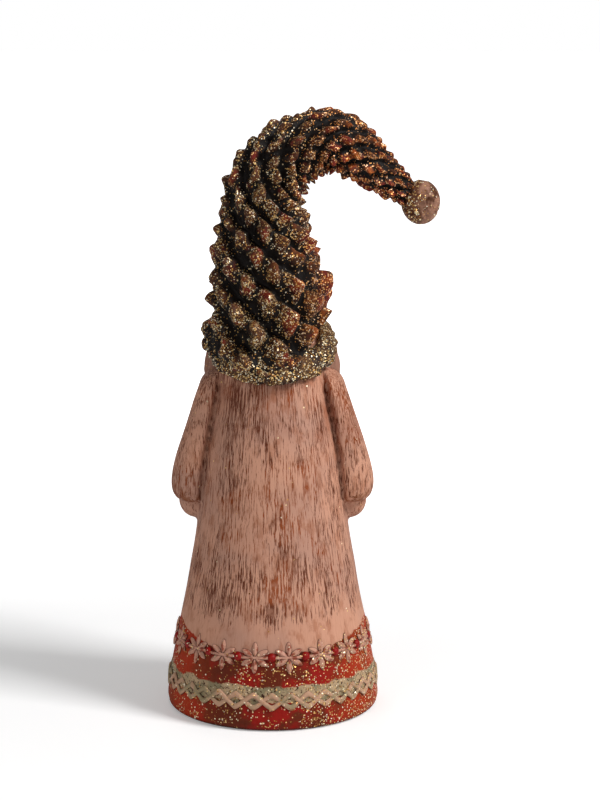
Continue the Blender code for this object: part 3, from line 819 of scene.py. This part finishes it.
samples = [smooth_row(HAT_LINE, step / LINE_SAMPLES) for step in range(LINE_SAMPLES + 1)]
distances = [0.0]
for (x0, z0, _), (x1, z1, _) in zip(samples, samples[1:]):
    distances.append(distances[-1] + math.hypot(x1 - x0, z1 - z0))
HAT_LENGTH = distances[-1]
print("hat length", round(HAT_LENGTH), "mm")


def hat_frame(length):
    """Centre, outward and forward directions and radius at a distance along the hat, in mm."""
    share = length / HAT_LENGTH * LINE_SAMPLES
    index = min(max(int(share), 0), LINE_SAMPLES - 1)
    while index > 0 and distances[index] > length:
        index -= 1
    while index < LINE_SAMPLES - 1 and distances[index + 1] < length:
        index += 1
    part = (length - distances[index]) / (distances[index + 1] - distances[index])
    x, z, radius = Vector(samples[index]).lerp(Vector(samples[index + 1]), part)
    before = Vector(samples[max(index - LOOK_ALONG, 0)])
    after = Vector(samples[min(index + LOOK_ALONG + 1, LINE_SAMPLES)])
    forward = Vector((after.x - before.x, 0.0, after.y - before.y)).normalized()
    outward = forward.cross(Vector((0.0, 1.0, 0.0)))
    return Vector((x, 0.0, z)), outward, forward, radius


# %% [markdown]
# The steps along the hat are laid out first. Each is a fixed share of the hat's radius at that
# place, so the scales shrink toward the tip, and a least step keeps them from crowding there.

# %% Spiral steps
SPIRAL_LEFT = 8
SPIRAL_RIGHT = 13
SCALE_TURN = math.radians(137.508)
SCALE_FIRST = 8.0
SCALE_RISE = 0.0345
SCALE_RISE_LEAST = 0.48

steps = [SCALE_FIRST]
while steps[-1] < HAT_LENGTH:
    steps.append(steps[-1] + max(SCALE_RISE * hat_frame(steps[-1])[3], SCALE_RISE_LEAST))
print("scales:", len(steps))


def along_spiral(place):
    index = min(max(math.floor(place), 0), len(steps) - 2)
    return steps[index] + (place - index) * (steps[index + 1] - steps[index])


def family_turn(count):
    return (SCALE_TURN * count + math.pi) % (2 * math.pi) - math.pi


def scale_vary(number, kind):
    return math.sin(number * SCALE_TURN * kind + kind)


# %% [markdown]
# ## One scale
# A scale is a grid, shaped by a rule. It starts low, tucked under its neighbours, swells to a
# thick knobbly rim near its far corner, and drops into a deep gap. All four borders lie at the
# bottom of the gaps, so the patches meet there and merge.

# %% Scale rule
PATCH = 18
SCALE_FLOOR = 0.715
SCALE_LIFT = 0.285
SCALE_OVERHANG = 0.10
SCALE_LEAN = 0.35
SCALE_BORDER = 0.3
SCALE_CREST = 0.72
SCALE_END = 0.95
SCALE_SWELL = 0.7
SCALE_SIDE = 0.40
CREST_VARY = 0.10
MIDDLE_VARY = 0.15
HEIGHT_VARY = 0.22
WARP = 0.26
WARP_SCALE = 5.0
WARP_SHIFT = Vector((7.0, 7.0, 7.0))
KNOB = 3.1
KNOB_REACH = 0.8
KNOB_LEAST = 0.25
KNOB_SHOWN = 0.8
KNOB_LIFT = 1.0
KNOB_GROW = 0.058
CRUMB = 1.7
CRUMB_LIFT = 0.6
BRIM_Z = 142.0
BRIM_TILT = math.radians(16.5)
BRIM_FADE = 9.0
SCALE_LOW = 0.4
SCALE_FOOT = 0.36
BRIM_UP = Vector((0.0, math.sin(BRIM_TILT), math.cos(BRIM_TILT)))


def inner(share):
    """1 in the middle of a patch and 0 on its borders, so that neighbours stay joined."""
    return ease(share, 0.0, SCALE_BORDER) * ease(1.0 - share, 0.0, SCALE_BORDER)


def scale_profile(p, q, number):
    """Height of a scale at p, q from 0 to 1 across the patch, from 0 in the gap to 1 on the rim."""
    own = inner(p)
    crest = SCALE_CREST + CREST_VARY * own * scale_vary(number, 3)
    along = ease(q, 0.0, crest) ** SCALE_SWELL * ease(1.0 - q, 0.0, SCALE_END - crest)
    middle = 0.5 + MIDDLE_VARY * own * scale_vary(number, 2)
    full = ease(p, 0.0, middle) * ease(1.0 - p, 0.0, 1.0 - middle)
    side = SCALE_SIDE + (1.0 - SCALE_SIDE) * full
    return along * side * (1.0 + HEIGHT_VARY * own * scale_vary(number, 1))


def hat_spot(number, a, b, lift):
    """Point over the hat's line at patch place a, b, and the way out from there."""
    place = number + SPIRAL_LEFT * a + SPIRAL_RIGHT * b
    centre, outward, _, radius = hat_frame(along_spiral(place))
    turn = SCALE_TURN * number + a * family_turn(SPIRAL_LEFT) + b * family_turn(SPIRAL_RIGHT)
    normal = outward * math.cos(turn) + Vector((0.0, math.sin(turn), 0.0))
    above = (centre + normal * radius - Vector((0.0, 0.0, BRIM_Z))).dot(BRIM_UP)
    fade = min(1.0, max(SCALE_LOW, above / BRIM_FADE))
    share = SCALE_FLOOR + SCALE_FOOT * (1.0 - fade) + lift * fade
    return centre + normal * radius * share, normal, radius


def scale_point(number, a, b):
    flat = hat_spot(number, a, b, 0.0)[0]
    p, q = a + 0.5, b + 0.5
    p += WARP * 4.0 * p * (1.0 - p) * noise.noise(flat / WARP_SCALE)
    q += WARP * 4.0 * q * (1.0 - q) * noise.noise(flat / WARP_SCALE + WARP_SHIFT)
    height = scale_profile(p, q, number)
    over = SCALE_OVERHANG * height
    spot, normal, radius = hat_spot(number, a + SCALE_LEAN * over, b + over, SCALE_LIFT * height)
    nearest = noise.voronoi(spot / KNOB, distance_metric="DISTANCE")[0][0]
    knob = max(0.0, 1.0 - (nearest / KNOB_REACH) ** 2)
    knob *= KNOB_LEAST + (1.0 - KNOB_LEAST) * min(height, 1.0)
    crumb = noise.noise(spot / CRUMB) * CRUMB_LIFT
    swell = (KNOB_LIFT + KNOB_GROW * radius) * (knob - 0.5)
    return spot + normal * (swell + crumb), height + KNOB_SHOWN * (knob - 0.5)


print("a gap lies at", SCALE_FLOOR, "of the hat's radius")

# %% [markdown]
# All patches are merged into one skin, and a few rounds of smoothing take the sharpness off, as
# plaster and paint do. The tip and the bend get more of it, because their scales are worn. Then
# the skin is cut flat under the brim and inside the pompom, so that it is closed.

# %% Build the scales
HAT_MERGE = 0.01 * MM
SPARE = SPIRAL_LEFT + SPIRAL_RIGHT
ROUNDING = 2
TIP_ROUNDING = 6
TIP_STEP = 6.0 * MM
BEND_AT = Vector((-17.0 * MM, 0.0, 198.0 * MM))
BEND_REACH = 17.0 * MM
BEND_ROUNDING = 10

bm = bmesh.new()
lift_layer = bm.verts.layers.float.new("lift")
for number in range(-2 * SPARE, len(steps) + SPARE // 2):
    made = bmesh.ops.create_grid(bm, x_segments=PATCH, y_segments=PATCH, size=0.5)
    for vert in made["verts"]:
        spot, height = scale_point(number, vert.co.x, vert.co.y)
        vert.co = spot * MM
        vert[lift_layer] = height
bmesh.ops.remove_doubles(bm, verts=bm.verts[:], dist=HAT_MERGE)
soften(bm, bm.verts[:], ROUNDING)
for step in range(TIP_ROUNDING):
    soften(bm, [vert for vert in bm.verts if vert.co.x < -TIP_STEP * step], 1)
soften(bm, [vert for vert in bm.verts if (vert.co - BEND_AT).length < BEND_REACH], BEND_ROUNDING)


def trim(bm, point, keep):
    """Cut away what lies behind a plane and close the cut."""
    everything = bm.verts[:] + bm.edges[:] + bm.faces[:]
    cut = bmesh.ops.bisect_plane(bm, geom=everything, plane_co=point, plane_no=keep, clear_inner=True)
    rim = [item for item in cut["geom_cut"] if isinstance(item, bmesh.types.BMEdge)]
    bmesh.ops.holes_fill(bm, edges=rim)


trim(bm, Vector((0.0, 0.0, BRIM_Z * MM)), BRIM_UP)
tip_centre, _, tip_forward, _ = hat_frame(HAT_LENGTH)
trim(bm, tip_centre * MM, -tip_forward)
print("open edges of the hat:", sum(1 for edge in bm.edges if edge.is_boundary))
hat_mesh = new_mesh("hat_scales", bm)

# %% [markdown]
# ## The hat's paint
# The gaps are near black: dark paint deep in them, with painted shade of the deep gaps laid over
# it. The bodies of the scales are a warmer brown, brushed with brick red in patches and with
# orange toward the tip, and gold glitter sits on the raised edges. The height of each vertex above
# the gap was stored while modelling, so the paint knows how deep in a gap each point lies, and the
# wash adds painted shade in the hollows.

# %% Hat paint
# Near black: dark paint in the gaps, with the painted shade of the deep gaps on it.
HAT_DARK_AND_SHADE = linear(14, 6, 3)
HAT_BROWN = linear(78, 44, 26)
HAT_RED = linear(110, 30, 18)
HAT_ORANGE = linear(190, 92, 24)
HAT_FOIL = linear(244, 158, 88)

hat_paint, tree, surface, where = start_paint("hat_paint")
lift = add_node(tree, "ShaderNodeAttribute", {"attribute_name": "lift"})["Fac"]
x, y, z = axes_of(tree, where)
crumbs = noise_node(tree, where, 900.0, 4.0, 0.7)
bend = range_node(tree, x, 2.0 * MM, -28.0 * MM)
redder = math_node(tree, "MULTIPLY_ADD", bend, 0.06, noise_node(tree, where, 120.0, 3.0))
warm = mix_colour(tree, range_node(tree, redder, 0.54, 0.62), HAT_BROWN, HAT_RED)
hot = times(tree, patches(tree, where, 160.0, 2.0, 0.52, 0.62),
            math_node(tree, "MULTIPLY_ADD", bend, 0.48, 0.10))
warm = mix_colour(tree, hot, warm, HAT_ORANGE)
# Painted shade: toward the bottom of the gaps the colour goes near black by the stored height, and the wash
# darkens the hollows further.
reach = range_node(tree, math_node(tree, "MULTIPLY_ADD", crumbs, 0.5, lift), 0.35, 1.0)
colour = washed_and_shaded(tree, mix_colour(tree, reach, HAT_DARK_AND_SHADE, warm), HAT_DARK_AND_SHADE, 3.0 * MM, 0.85)
rough = range_node(tree, crumbs, 0.3, 0.7, 0.42, 0.68)
clump = patches(tree, where, 420.0, 2.0, 0.38, 0.56, 0.40, 1.0)
drift = times(tree, patches(tree, where, 110.0, 3.0, 0.34, 0.58, 0.50, 1.0), clump)
foot = range_node(tree, z, 172.0 * MM, 150.0 * MM)
sprinkle = times(tree, range_node(tree, lift, -0.2, 0.55, 0.14, 1.0),
                 math_node(tree, "MULTIPLY_ADD", foot, 0.10, drift))
stain = mix_colour(tree, times(tree, bend, 0.6), WHITE, HAT_FOIL)
end_paint(tree, surface, where, colour, rough, crumbs, 0.4 * MM, sprinkle, stain)
finish_piece("hat_scales", hat_mesh, hat_paint)

# %% [markdown]
# ## Brim
# The brim is a lumpy band, crusted with glitter. It is spun from an oval section, knobbled by
# noise along the way out, and then sheared so that it sits lower at the back.

# %% Brim
BRIM_R = 20.8 * MM
BRIM_THICK = 3.5 * MM
BRIM_HALF = 5.0 * MM
BRIM_DROP = 0.9 * MM
BRIM_SIDES = 28
BRIM_TURNS = 200
LUMP_SCALE = 4.2 * MM
LUMP_OUT = 2.8 * MM
LUMP_UP = 1.4 * MM
BRIM_BROWN = linear(92, 62, 38)
BRIM_DARK = linear(44, 25, 15)

brim_paint, tree, surface, where = start_paint("brim_paint")
crumbs = noise_node(tree, where, 700.0, 4.0, 0.7)
colour = mix_colour(tree, patches(tree, where, 110.0, 3.0, 0.4, 0.62), BRIM_BROWN, BRIM_DARK)
# Wash and painted shade in the brim's hollows between its lumps.
colour = washed_and_shaded(tree, colour, HAT_DARK_AND_SHADE, 2.5 * MM)
dense = patches(tree, where, 330.0, 2.0, 0.36, 0.56, 0.35, 0.90)
rough = range_node(tree, crumbs, 0.3, 0.7, 0.45, 0.7)
end_paint(tree, surface, where, colour, rough, crumbs, 0.4 * MM, dense)

bm = bmesh.new()
spun(bm, ring_section(BRIM_R, BRIM_THICK, BRIM_HALF, BRIM_SIDES), BRIM_TURNS)
for vert in bm.verts:
    away = Vector((vert.co.x, vert.co.y, 0.0)).normalized()
    nearest = noise.voronoi(vert.co / LUMP_SCALE, distance_metric="DISTANCE")[0][0]
    vert.co += away * (0.5 - nearest) * LUMP_OUT + UP * noise.noise(vert.co / LUMP_SCALE) * LUMP_UP
    vert.co.z += BRIM_Z * MM - BRIM_DROP - math.tan(BRIM_TILT) * vert.co.y
finish_piece("hat_brim", new_mesh("hat_brim", bm), brim_paint)

# %% [markdown]
# ## Pompom
# The pompom is a ball with shallow dents, in the coat's pink with brown rubbed in, and crusted
# with glitter on the side where the hat's tip joins it. A sphere is dented by moving each vertex
# inwards near the middles of random cells.

# %% Pompom
POMPOM_AT = Vector(in_mm((-56.1, 0.0, 195.9)))
POMPOM_HALF = in_mm((7.4, 7.4, 8.5))
DENT_SCALE = 3.6 * MM
DENT_DEPTH = 1.1 * MM
POMPOM_PINK = linear(158, 114, 92)
POMPOM_BROWN = linear(78, 42, 22)
POMPOM_TIP = linear(84, 44, 24)

pompom_paint, tree, surface, where = start_paint("pompom_paint")
blotch = noise_node(tree, where, 190.0, 4.0, 0.6)
colour = mix_colour(tree, range_node(tree, blotch, 0.44, 0.6), POMPOM_PINK, POMPOM_BROWN)
near_hat = math_node(tree, "MULTIPLY_ADD", blotch, 8.0 * MM, axes_of(tree, where)[0])
near_hat = range_node(tree, near_hat, -53.8 * MM, -50.4 * MM)
colour = mix_colour(tree, times(tree, near_hat, 0.85), colour, POMPOM_TIP)
# Wash and painted shade in the dents and where the pompom meets the hat.
colour = washed_and_shaded(tree, colour, DIRT_AND_SHADE, 2.5 * MM)
dense = math_node(tree, "MULTIPLY_ADD", near_hat, 0.40, 0.16)
rough = range_node(tree, blotch, 0.3, 0.7, 0.5, 0.7)
end_paint(tree, surface, where, colour, rough, blotch, 0.4 * MM, dense)

bm = bmesh.new()
for vert in lump(bm, POMPOM_AT, POMPOM_HALF, 80, 56):
    away = (vert.co - POMPOM_AT).normalized()
    nearest = noise.voronoi(vert.co / DENT_SCALE, distance_metric="DISTANCE")[0][0]
    vert.co -= away * DENT_DEPTH * max(0.0, 1.0 - (nearest / 0.5) ** 2)
finish_piece("pompom", new_mesh("pompom", bm), pompom_paint)

# %% [markdown]
# ## The face's paint
# The skin is a plain flesh colour with a soft blush on cheeks and nose. The lashes are two thin
# curved lines, as a fine brush leaves them: how far a point lies from a parabola gives the line.

# %% Face paints
SKIN = linear(222, 170, 146)
SKIN_WASH_AND_SHADE = linear(120, 62, 44)
CHEEK_RED = linear(196, 96, 76)
LASH = linear(52, 26, 18)
EYE_X = 7.0 * MM
LASH_Z = 139.6 * MM
LASH_CURVE = 130.0

skin_paint, tree, surface, where = start_paint("skin_paint")
x, y, z = axes_of(tree, where)
aside = math_node(tree, "ABSOLUTE", x)
mottle = noise_node(tree, where, 260.0, 3.0)
blush = times(tree, range_node(tree, aside, 4.0 * MM, 8.5 * MM),
              range_node(tree, aside, 15.0 * MM, 10.5 * MM))
blush = times(tree, blush, range_node(tree, z, 139.2 * MM, 136.5 * MM))
nose_tip = times(tree, range_node(tree, aside, 4.5 * MM, 2.0 * MM),
                 range_node(tree, y, -26.0 * MM, -29.0 * MM))
warmth = math_node(tree, "MULTIPLY_ADD", nose_tip, 0.55, times(tree, blush, 0.5))
colour = mix_colour(tree, warmth, SKIN, CHEEK_RED)
colour = mix_colour(tree, range_node(tree, mottle, 0.6, 0.8, 0.0, 0.4), colour, OCHRE)
off_eye = math_node(tree, "SUBTRACT", aside, EYE_X)
curve = times(tree, times(tree, off_eye, off_eye), LASH_CURVE)
off_line = math_node(tree, "SUBTRACT", math_node(tree, "SUBTRACT", z, LASH_Z), curve)
lash = times(tree, range_node(tree, math_node(tree, "ABSOLUTE", off_line), 0.42 * MM, 0.18 * MM),
             range_node(tree, math_node(tree, "ABSOLUTE", off_eye), 2.6 * MM, 2.2 * MM))
lash = times(tree, lash, range_node(tree, y, -19.0 * MM, -20.0 * MM))
# Wash and painted shade: the face's hollows round nose, cheeks and lids are darkened.
colour = washed_and_shaded(tree, mix_colour(tree, lash, colour, LASH), SKIN_WASH_AND_SHADE, 2.0 * MM, 0.6)
end_paint(tree, surface, where, colour, range_node(tree, mottle, 0.3, 0.7, 0.5, 0.65), mottle, 0.06 * MM)

# %% [markdown]
# The beard is off-white, with grey-brown painted shade in the grooves between its locks.
# Toward the back it turns a darker pink.

# %% Beard paint
BEARD_WHITE = linear(206, 198, 190)
BEARD_SHADE = linear(128, 108, 96)
BEARD_PINK = linear(150, 108, 90)
BEARD_WASH_AND_SHADE = linear(88, 58, 44)

beard_paint, tree, surface, where = start_paint("beard_paint")
groove = add_node(tree, "ShaderNodeAttribute", {"attribute_name": "lift"})["Fac"]
fleck = noise_node(tree, drawn_out(tree, where, 0.25), 700.0, 3.0)
shade = range_node(tree, math_node(tree, "MULTIPLY_ADD", fleck, 0.5, groove), 0.85, 0.30)
colour = mix_colour(tree, shade, BEARD_WHITE, BEARD_SHADE)
to_back = range_node(tree, axes_of(tree, where)[1], -14.0 * MM, -7.0 * MM)
colour = mix_colour(tree, to_back, colour, BEARD_PINK)
# Wash and painted shade in the grooves between the locks.
colour = washed_and_shaded(tree, colour, BEARD_WASH_AND_SHADE, 1.5 * MM, 0.7)
rough = range_node(tree, fleck, 0.3, 0.7, 0.55, 0.75)
end_paint(tree, surface, where, colour, rough, fleck, 0.12 * MM, 0.05)

# %% [markdown]
# ## Beard
# The beard is wide under the brim and comes to a point on the chest. It is one closed form with
# oval sections. Locks and fine hair are waves around it that sway with the height, and each
# vertex keeps its share of the relief for the paint.

# %% Beard
BEARD = [
    (145.5, 15.0, 8.0), (141.0, 23.4, 16.5), (136.0, 25.6, 20.0), (129.0, 26.3, 24.4),
    (119.5, 24.4, 28.2), (107.5, 18.6, 30.6), (94.0, 10.5, 31.0), (86.0, 4.0, 29.4)]
BEARD_BACK = 7.0
LOCKS = 15
LOCK_DEPTH = 1.3
HAIR_DEPTH = 0.35
LOCK_ROUND = 0.6


def hair(turn, height):
    """Relief of locks and fine hair, 1 on a crest and 0 in a groove."""
    sway = 0.35 * math.sin(height * 0.13) + 0.20 * math.sin(height * 0.31 + 1.0)
    lock = abs(math.sin((turn + sway * 0.5) * LOCKS / 2))
    strand = abs(math.sin((turn + sway * 0.7) * LOCKS * 2.0 + math.sin(height * 0.4)))
    return lock ** LOCK_ROUND, strand


def beard_place(share, turn, out):
    height, half, reach = smooth_row(BEARD, share)
    lock, strand = hair(turn, height)
    depth = reach - BEARD_BACK
    inset = out * (LOCK_DEPTH * (1.0 - lock) + HAIR_DEPTH * (1.0 - strand))
    across = out * half * max(0.0, 1.0 - inset / max(half, 1.0))
    outward = out * depth * (1.0 - inset / max(depth, 1.0))
    return Vector((across * math.cos(turn), outward * math.sin(turn) - BEARD_BACK, height)) * MM


bm = bmesh.new()
lift_layer = bm.verts.layers.float.new("lift")
for vert in sphere_form(bm, 300, 110, beard_place):
    lock, strand = hair(math.atan2(vert.co.y / MM + BEARD_BACK, vert.co.x / MM), vert.co.z / MM)
    vert[lift_layer] = 0.7 * lock + 0.3 * strand
finish_piece("beard", new_mesh("beard", bm), beard_paint)

# %% [markdown]
# ## Head
# The face is a calm, general one. Its parts are simple lumps fused through voxels, so that
# cheeks, nose and lids flow into each other as they do in a casting. Above the brim the head is
# drawn in, so that nothing of it shows between the scales.

# %% Head
HEAD = ((0.0, -5.0, 138.5), (20.4, 20.0, 19.0))
NOSE = ((0.0, -26.2, 135.6), (4.1, 4.0, 3.8))
BRIDGE = ((0.0, -23.8, 140.0), (2.2, 2.6, 5.0))
CHEEK = ((9.2, -21.2, 135.2), (5.4, 4.0, 4.4))
EYELID = ((7.0, -22.2, 140.6), (3.1, 2.5, 2.0))
LIP = ((0.0, -25.3, 127.0), (3.0, 3.6, 1.3))
HEAD_VOXEL = 0.4 * MM
HEAD_SMOOTH = 5
HEAD_TUCK = 0.36
TUCK_FROM = -2.5 * MM
TUCK_TO = 2.5 * MM

bm = bmesh.new()
for centre, half in (HEAD, NOSE, BRIDGE, LIP):
    lump(bm, in_mm(centre), in_mm(half), 48, 32)
for side in (1, -1):
    for centre, half in (CHEEK, EYELID):
        lump(bm, mirrored(in_mm(centre), side), in_mm(half), 32, 24)
head_skin = cast_together("head", bm, HEAD_VOXEL, HEAD_SMOOTH)
for vert in head_skin.vertices:
    above = (vert.co - UP * BRIM_Z * MM).dot(BRIM_UP)
    tuck = 1.0 - HEAD_TUCK * ease(above, TUCK_FROM, TUCK_TO)
    vert.co.x *= tuck
    vert.co.y *= tuck
finish_piece("head", head_skin, skin_paint)

# %% [markdown]
# ## Moustache and brows
# Both are combed lumps that lean outwards. The grooves run along the hair, so they are waves of
# the angle about each lump's long axis.

# %% Moustache and brows
WHISKER = ((7.6, -23.4, 129.9), (8.6, 5.6, 3.0), 20.0)
BROW = ((7.4, -22.0, 144.2), (4.2, 2.4, 1.5), 12.0)
COMB_DEPTH = 0.35 * MM
COMB_TEETH = 6.0
COMB_TWIST = 0.25

bm = bmesh.new()
lift_layer = bm.verts.layers.float.new("lift")
for side in (1, -1):
    for centre, half, lean in (WHISKER, BROW):
        middle = mirrored(in_mm(centre), side)
        for vert in lump(bm, middle, in_mm(half), 72, 48, side * lean):
            away = vert.co - Vector(middle)
            comb = abs(math.sin(math.atan2(away.y, away.z) * COMB_TEETH + away.x / MM * COMB_TWIST))
            vert[lift_layer] = comb ** LOCK_ROUND
            vert.co -= away.normalized() * COMB_DEPTH * (1.0 - comb ** LOCK_ROUND)
finish_piece("moustache", new_mesh("moustache", bm), beard_paint)

# %% [markdown]
# ## Floor
# The floor is a plain pale sheet. To the camera alone it also glows, more with the distance, so
# the picture's edge is white, while the shadow beside the figurine stays.

# %% Floor
FLOOR_HALF = 3.0
FLOOR_PAINT = (0.90, 0.90, 0.90, 1.0)
FLOOR_ROUGH = 0.9
FLOOR_NEAR = 0.08
FLOOR_FAR = 0.60
FLOOR_GLOW = 0.24

floor_paint = bpy.data.materials.new("floor_paint")
floor_paint.use_nodes = True
tree = floor_paint.node_tree
surface = tree.nodes["Principled BSDF"].inputs
surface["Base Color"].default_value = FLOOR_PAINT
surface["Roughness"].default_value = FLOOR_ROUGH
surface["Specular IOR Level"].default_value = 0.0
surface["Emission Color"].default_value = WHITE
seen = tree.nodes.new("ShaderNodeLightPath").outputs["Is Camera Ray"]
spot = tree.nodes.new("ShaderNodeTexCoord").outputs["Object"]
glow = range_node(tree, vector_node(tree, "LENGTH", spot)["Value"], FLOOR_NEAR, FLOOR_FAR, FLOOR_GLOW, 1.0)
tree.links.new(times(tree, seen, glow), surface["Emission Strength"])
bm = bmesh.new()
bmesh.ops.create_grid(bm, x_segments=1, y_segments=1, size=FLOOR_HALF)
floor_mesh = bpy.data.meshes.new("floor")
bm.to_mesh(floor_mesh)
bm.free()
floor_mesh.materials.append(floor_paint)
floor = bpy.data.objects.new("floor", floor_mesh)
bpy.context.scene.collection.objects.link(floor)
print("floor", 2 * FLOOR_HALF, "m wide")

# %% [markdown]
# ## Lamps
# A soft lamp stands high at the right of the camera and gives the shadow on the left. Two weaker
# ones open the shadows on the left and on the face. Each is named by its place, its width and
# its power, and is turned to the middle of the figurine.

# %% Lamps
LAMPS = {
    "key": ((-0.92, 0.46, 1.08), 0.42, 17.5),
    "fill": ((0.9, 0.9, 0.6), 0.9, 2.9),
    "front": ((0.3, -1.1, 0.6), 0.8, 2.2),
}
AIM = Vector((0.0, 0.0, 0.11))

for name, (place, size, power) in LAMPS.items():
    lamp = bpy.data.lights.new(name, "AREA")
    lamp.energy = power
    lamp.size = size
    holder = bpy.data.objects.new(name, lamp)
    holder.location = place
    holder.rotation_euler = (AIM - Vector(place)).to_track_quat("-Z", "Y").to_euler()
    bpy.context.scene.collection.objects.link(holder)
print("lamps:", ", ".join(LAMPS))

# %% [markdown]
# ## World
# The world is a dim white sky for the object and plain white for the camera.

# %% World
AMBIENT = 0.20

world = bpy.data.worlds.new("studio")
bpy.context.scene.world = world
world.use_nodes = True
tree = world.node_tree
backdrop = tree.nodes["Background"].inputs
backdrop["Color"].default_value = WHITE
seen = tree.nodes.new("ShaderNodeLightPath").outputs["Is Camera Ray"]
tree.links.new(math_node(tree, "MULTIPLY_ADD", seen, 1.0 - AMBIENT, AMBIENT), backdrop["Strength"])
bpy.context.scene.view_settings.view_transform = "Standard"
print("light from all sides:", AMBIENT)
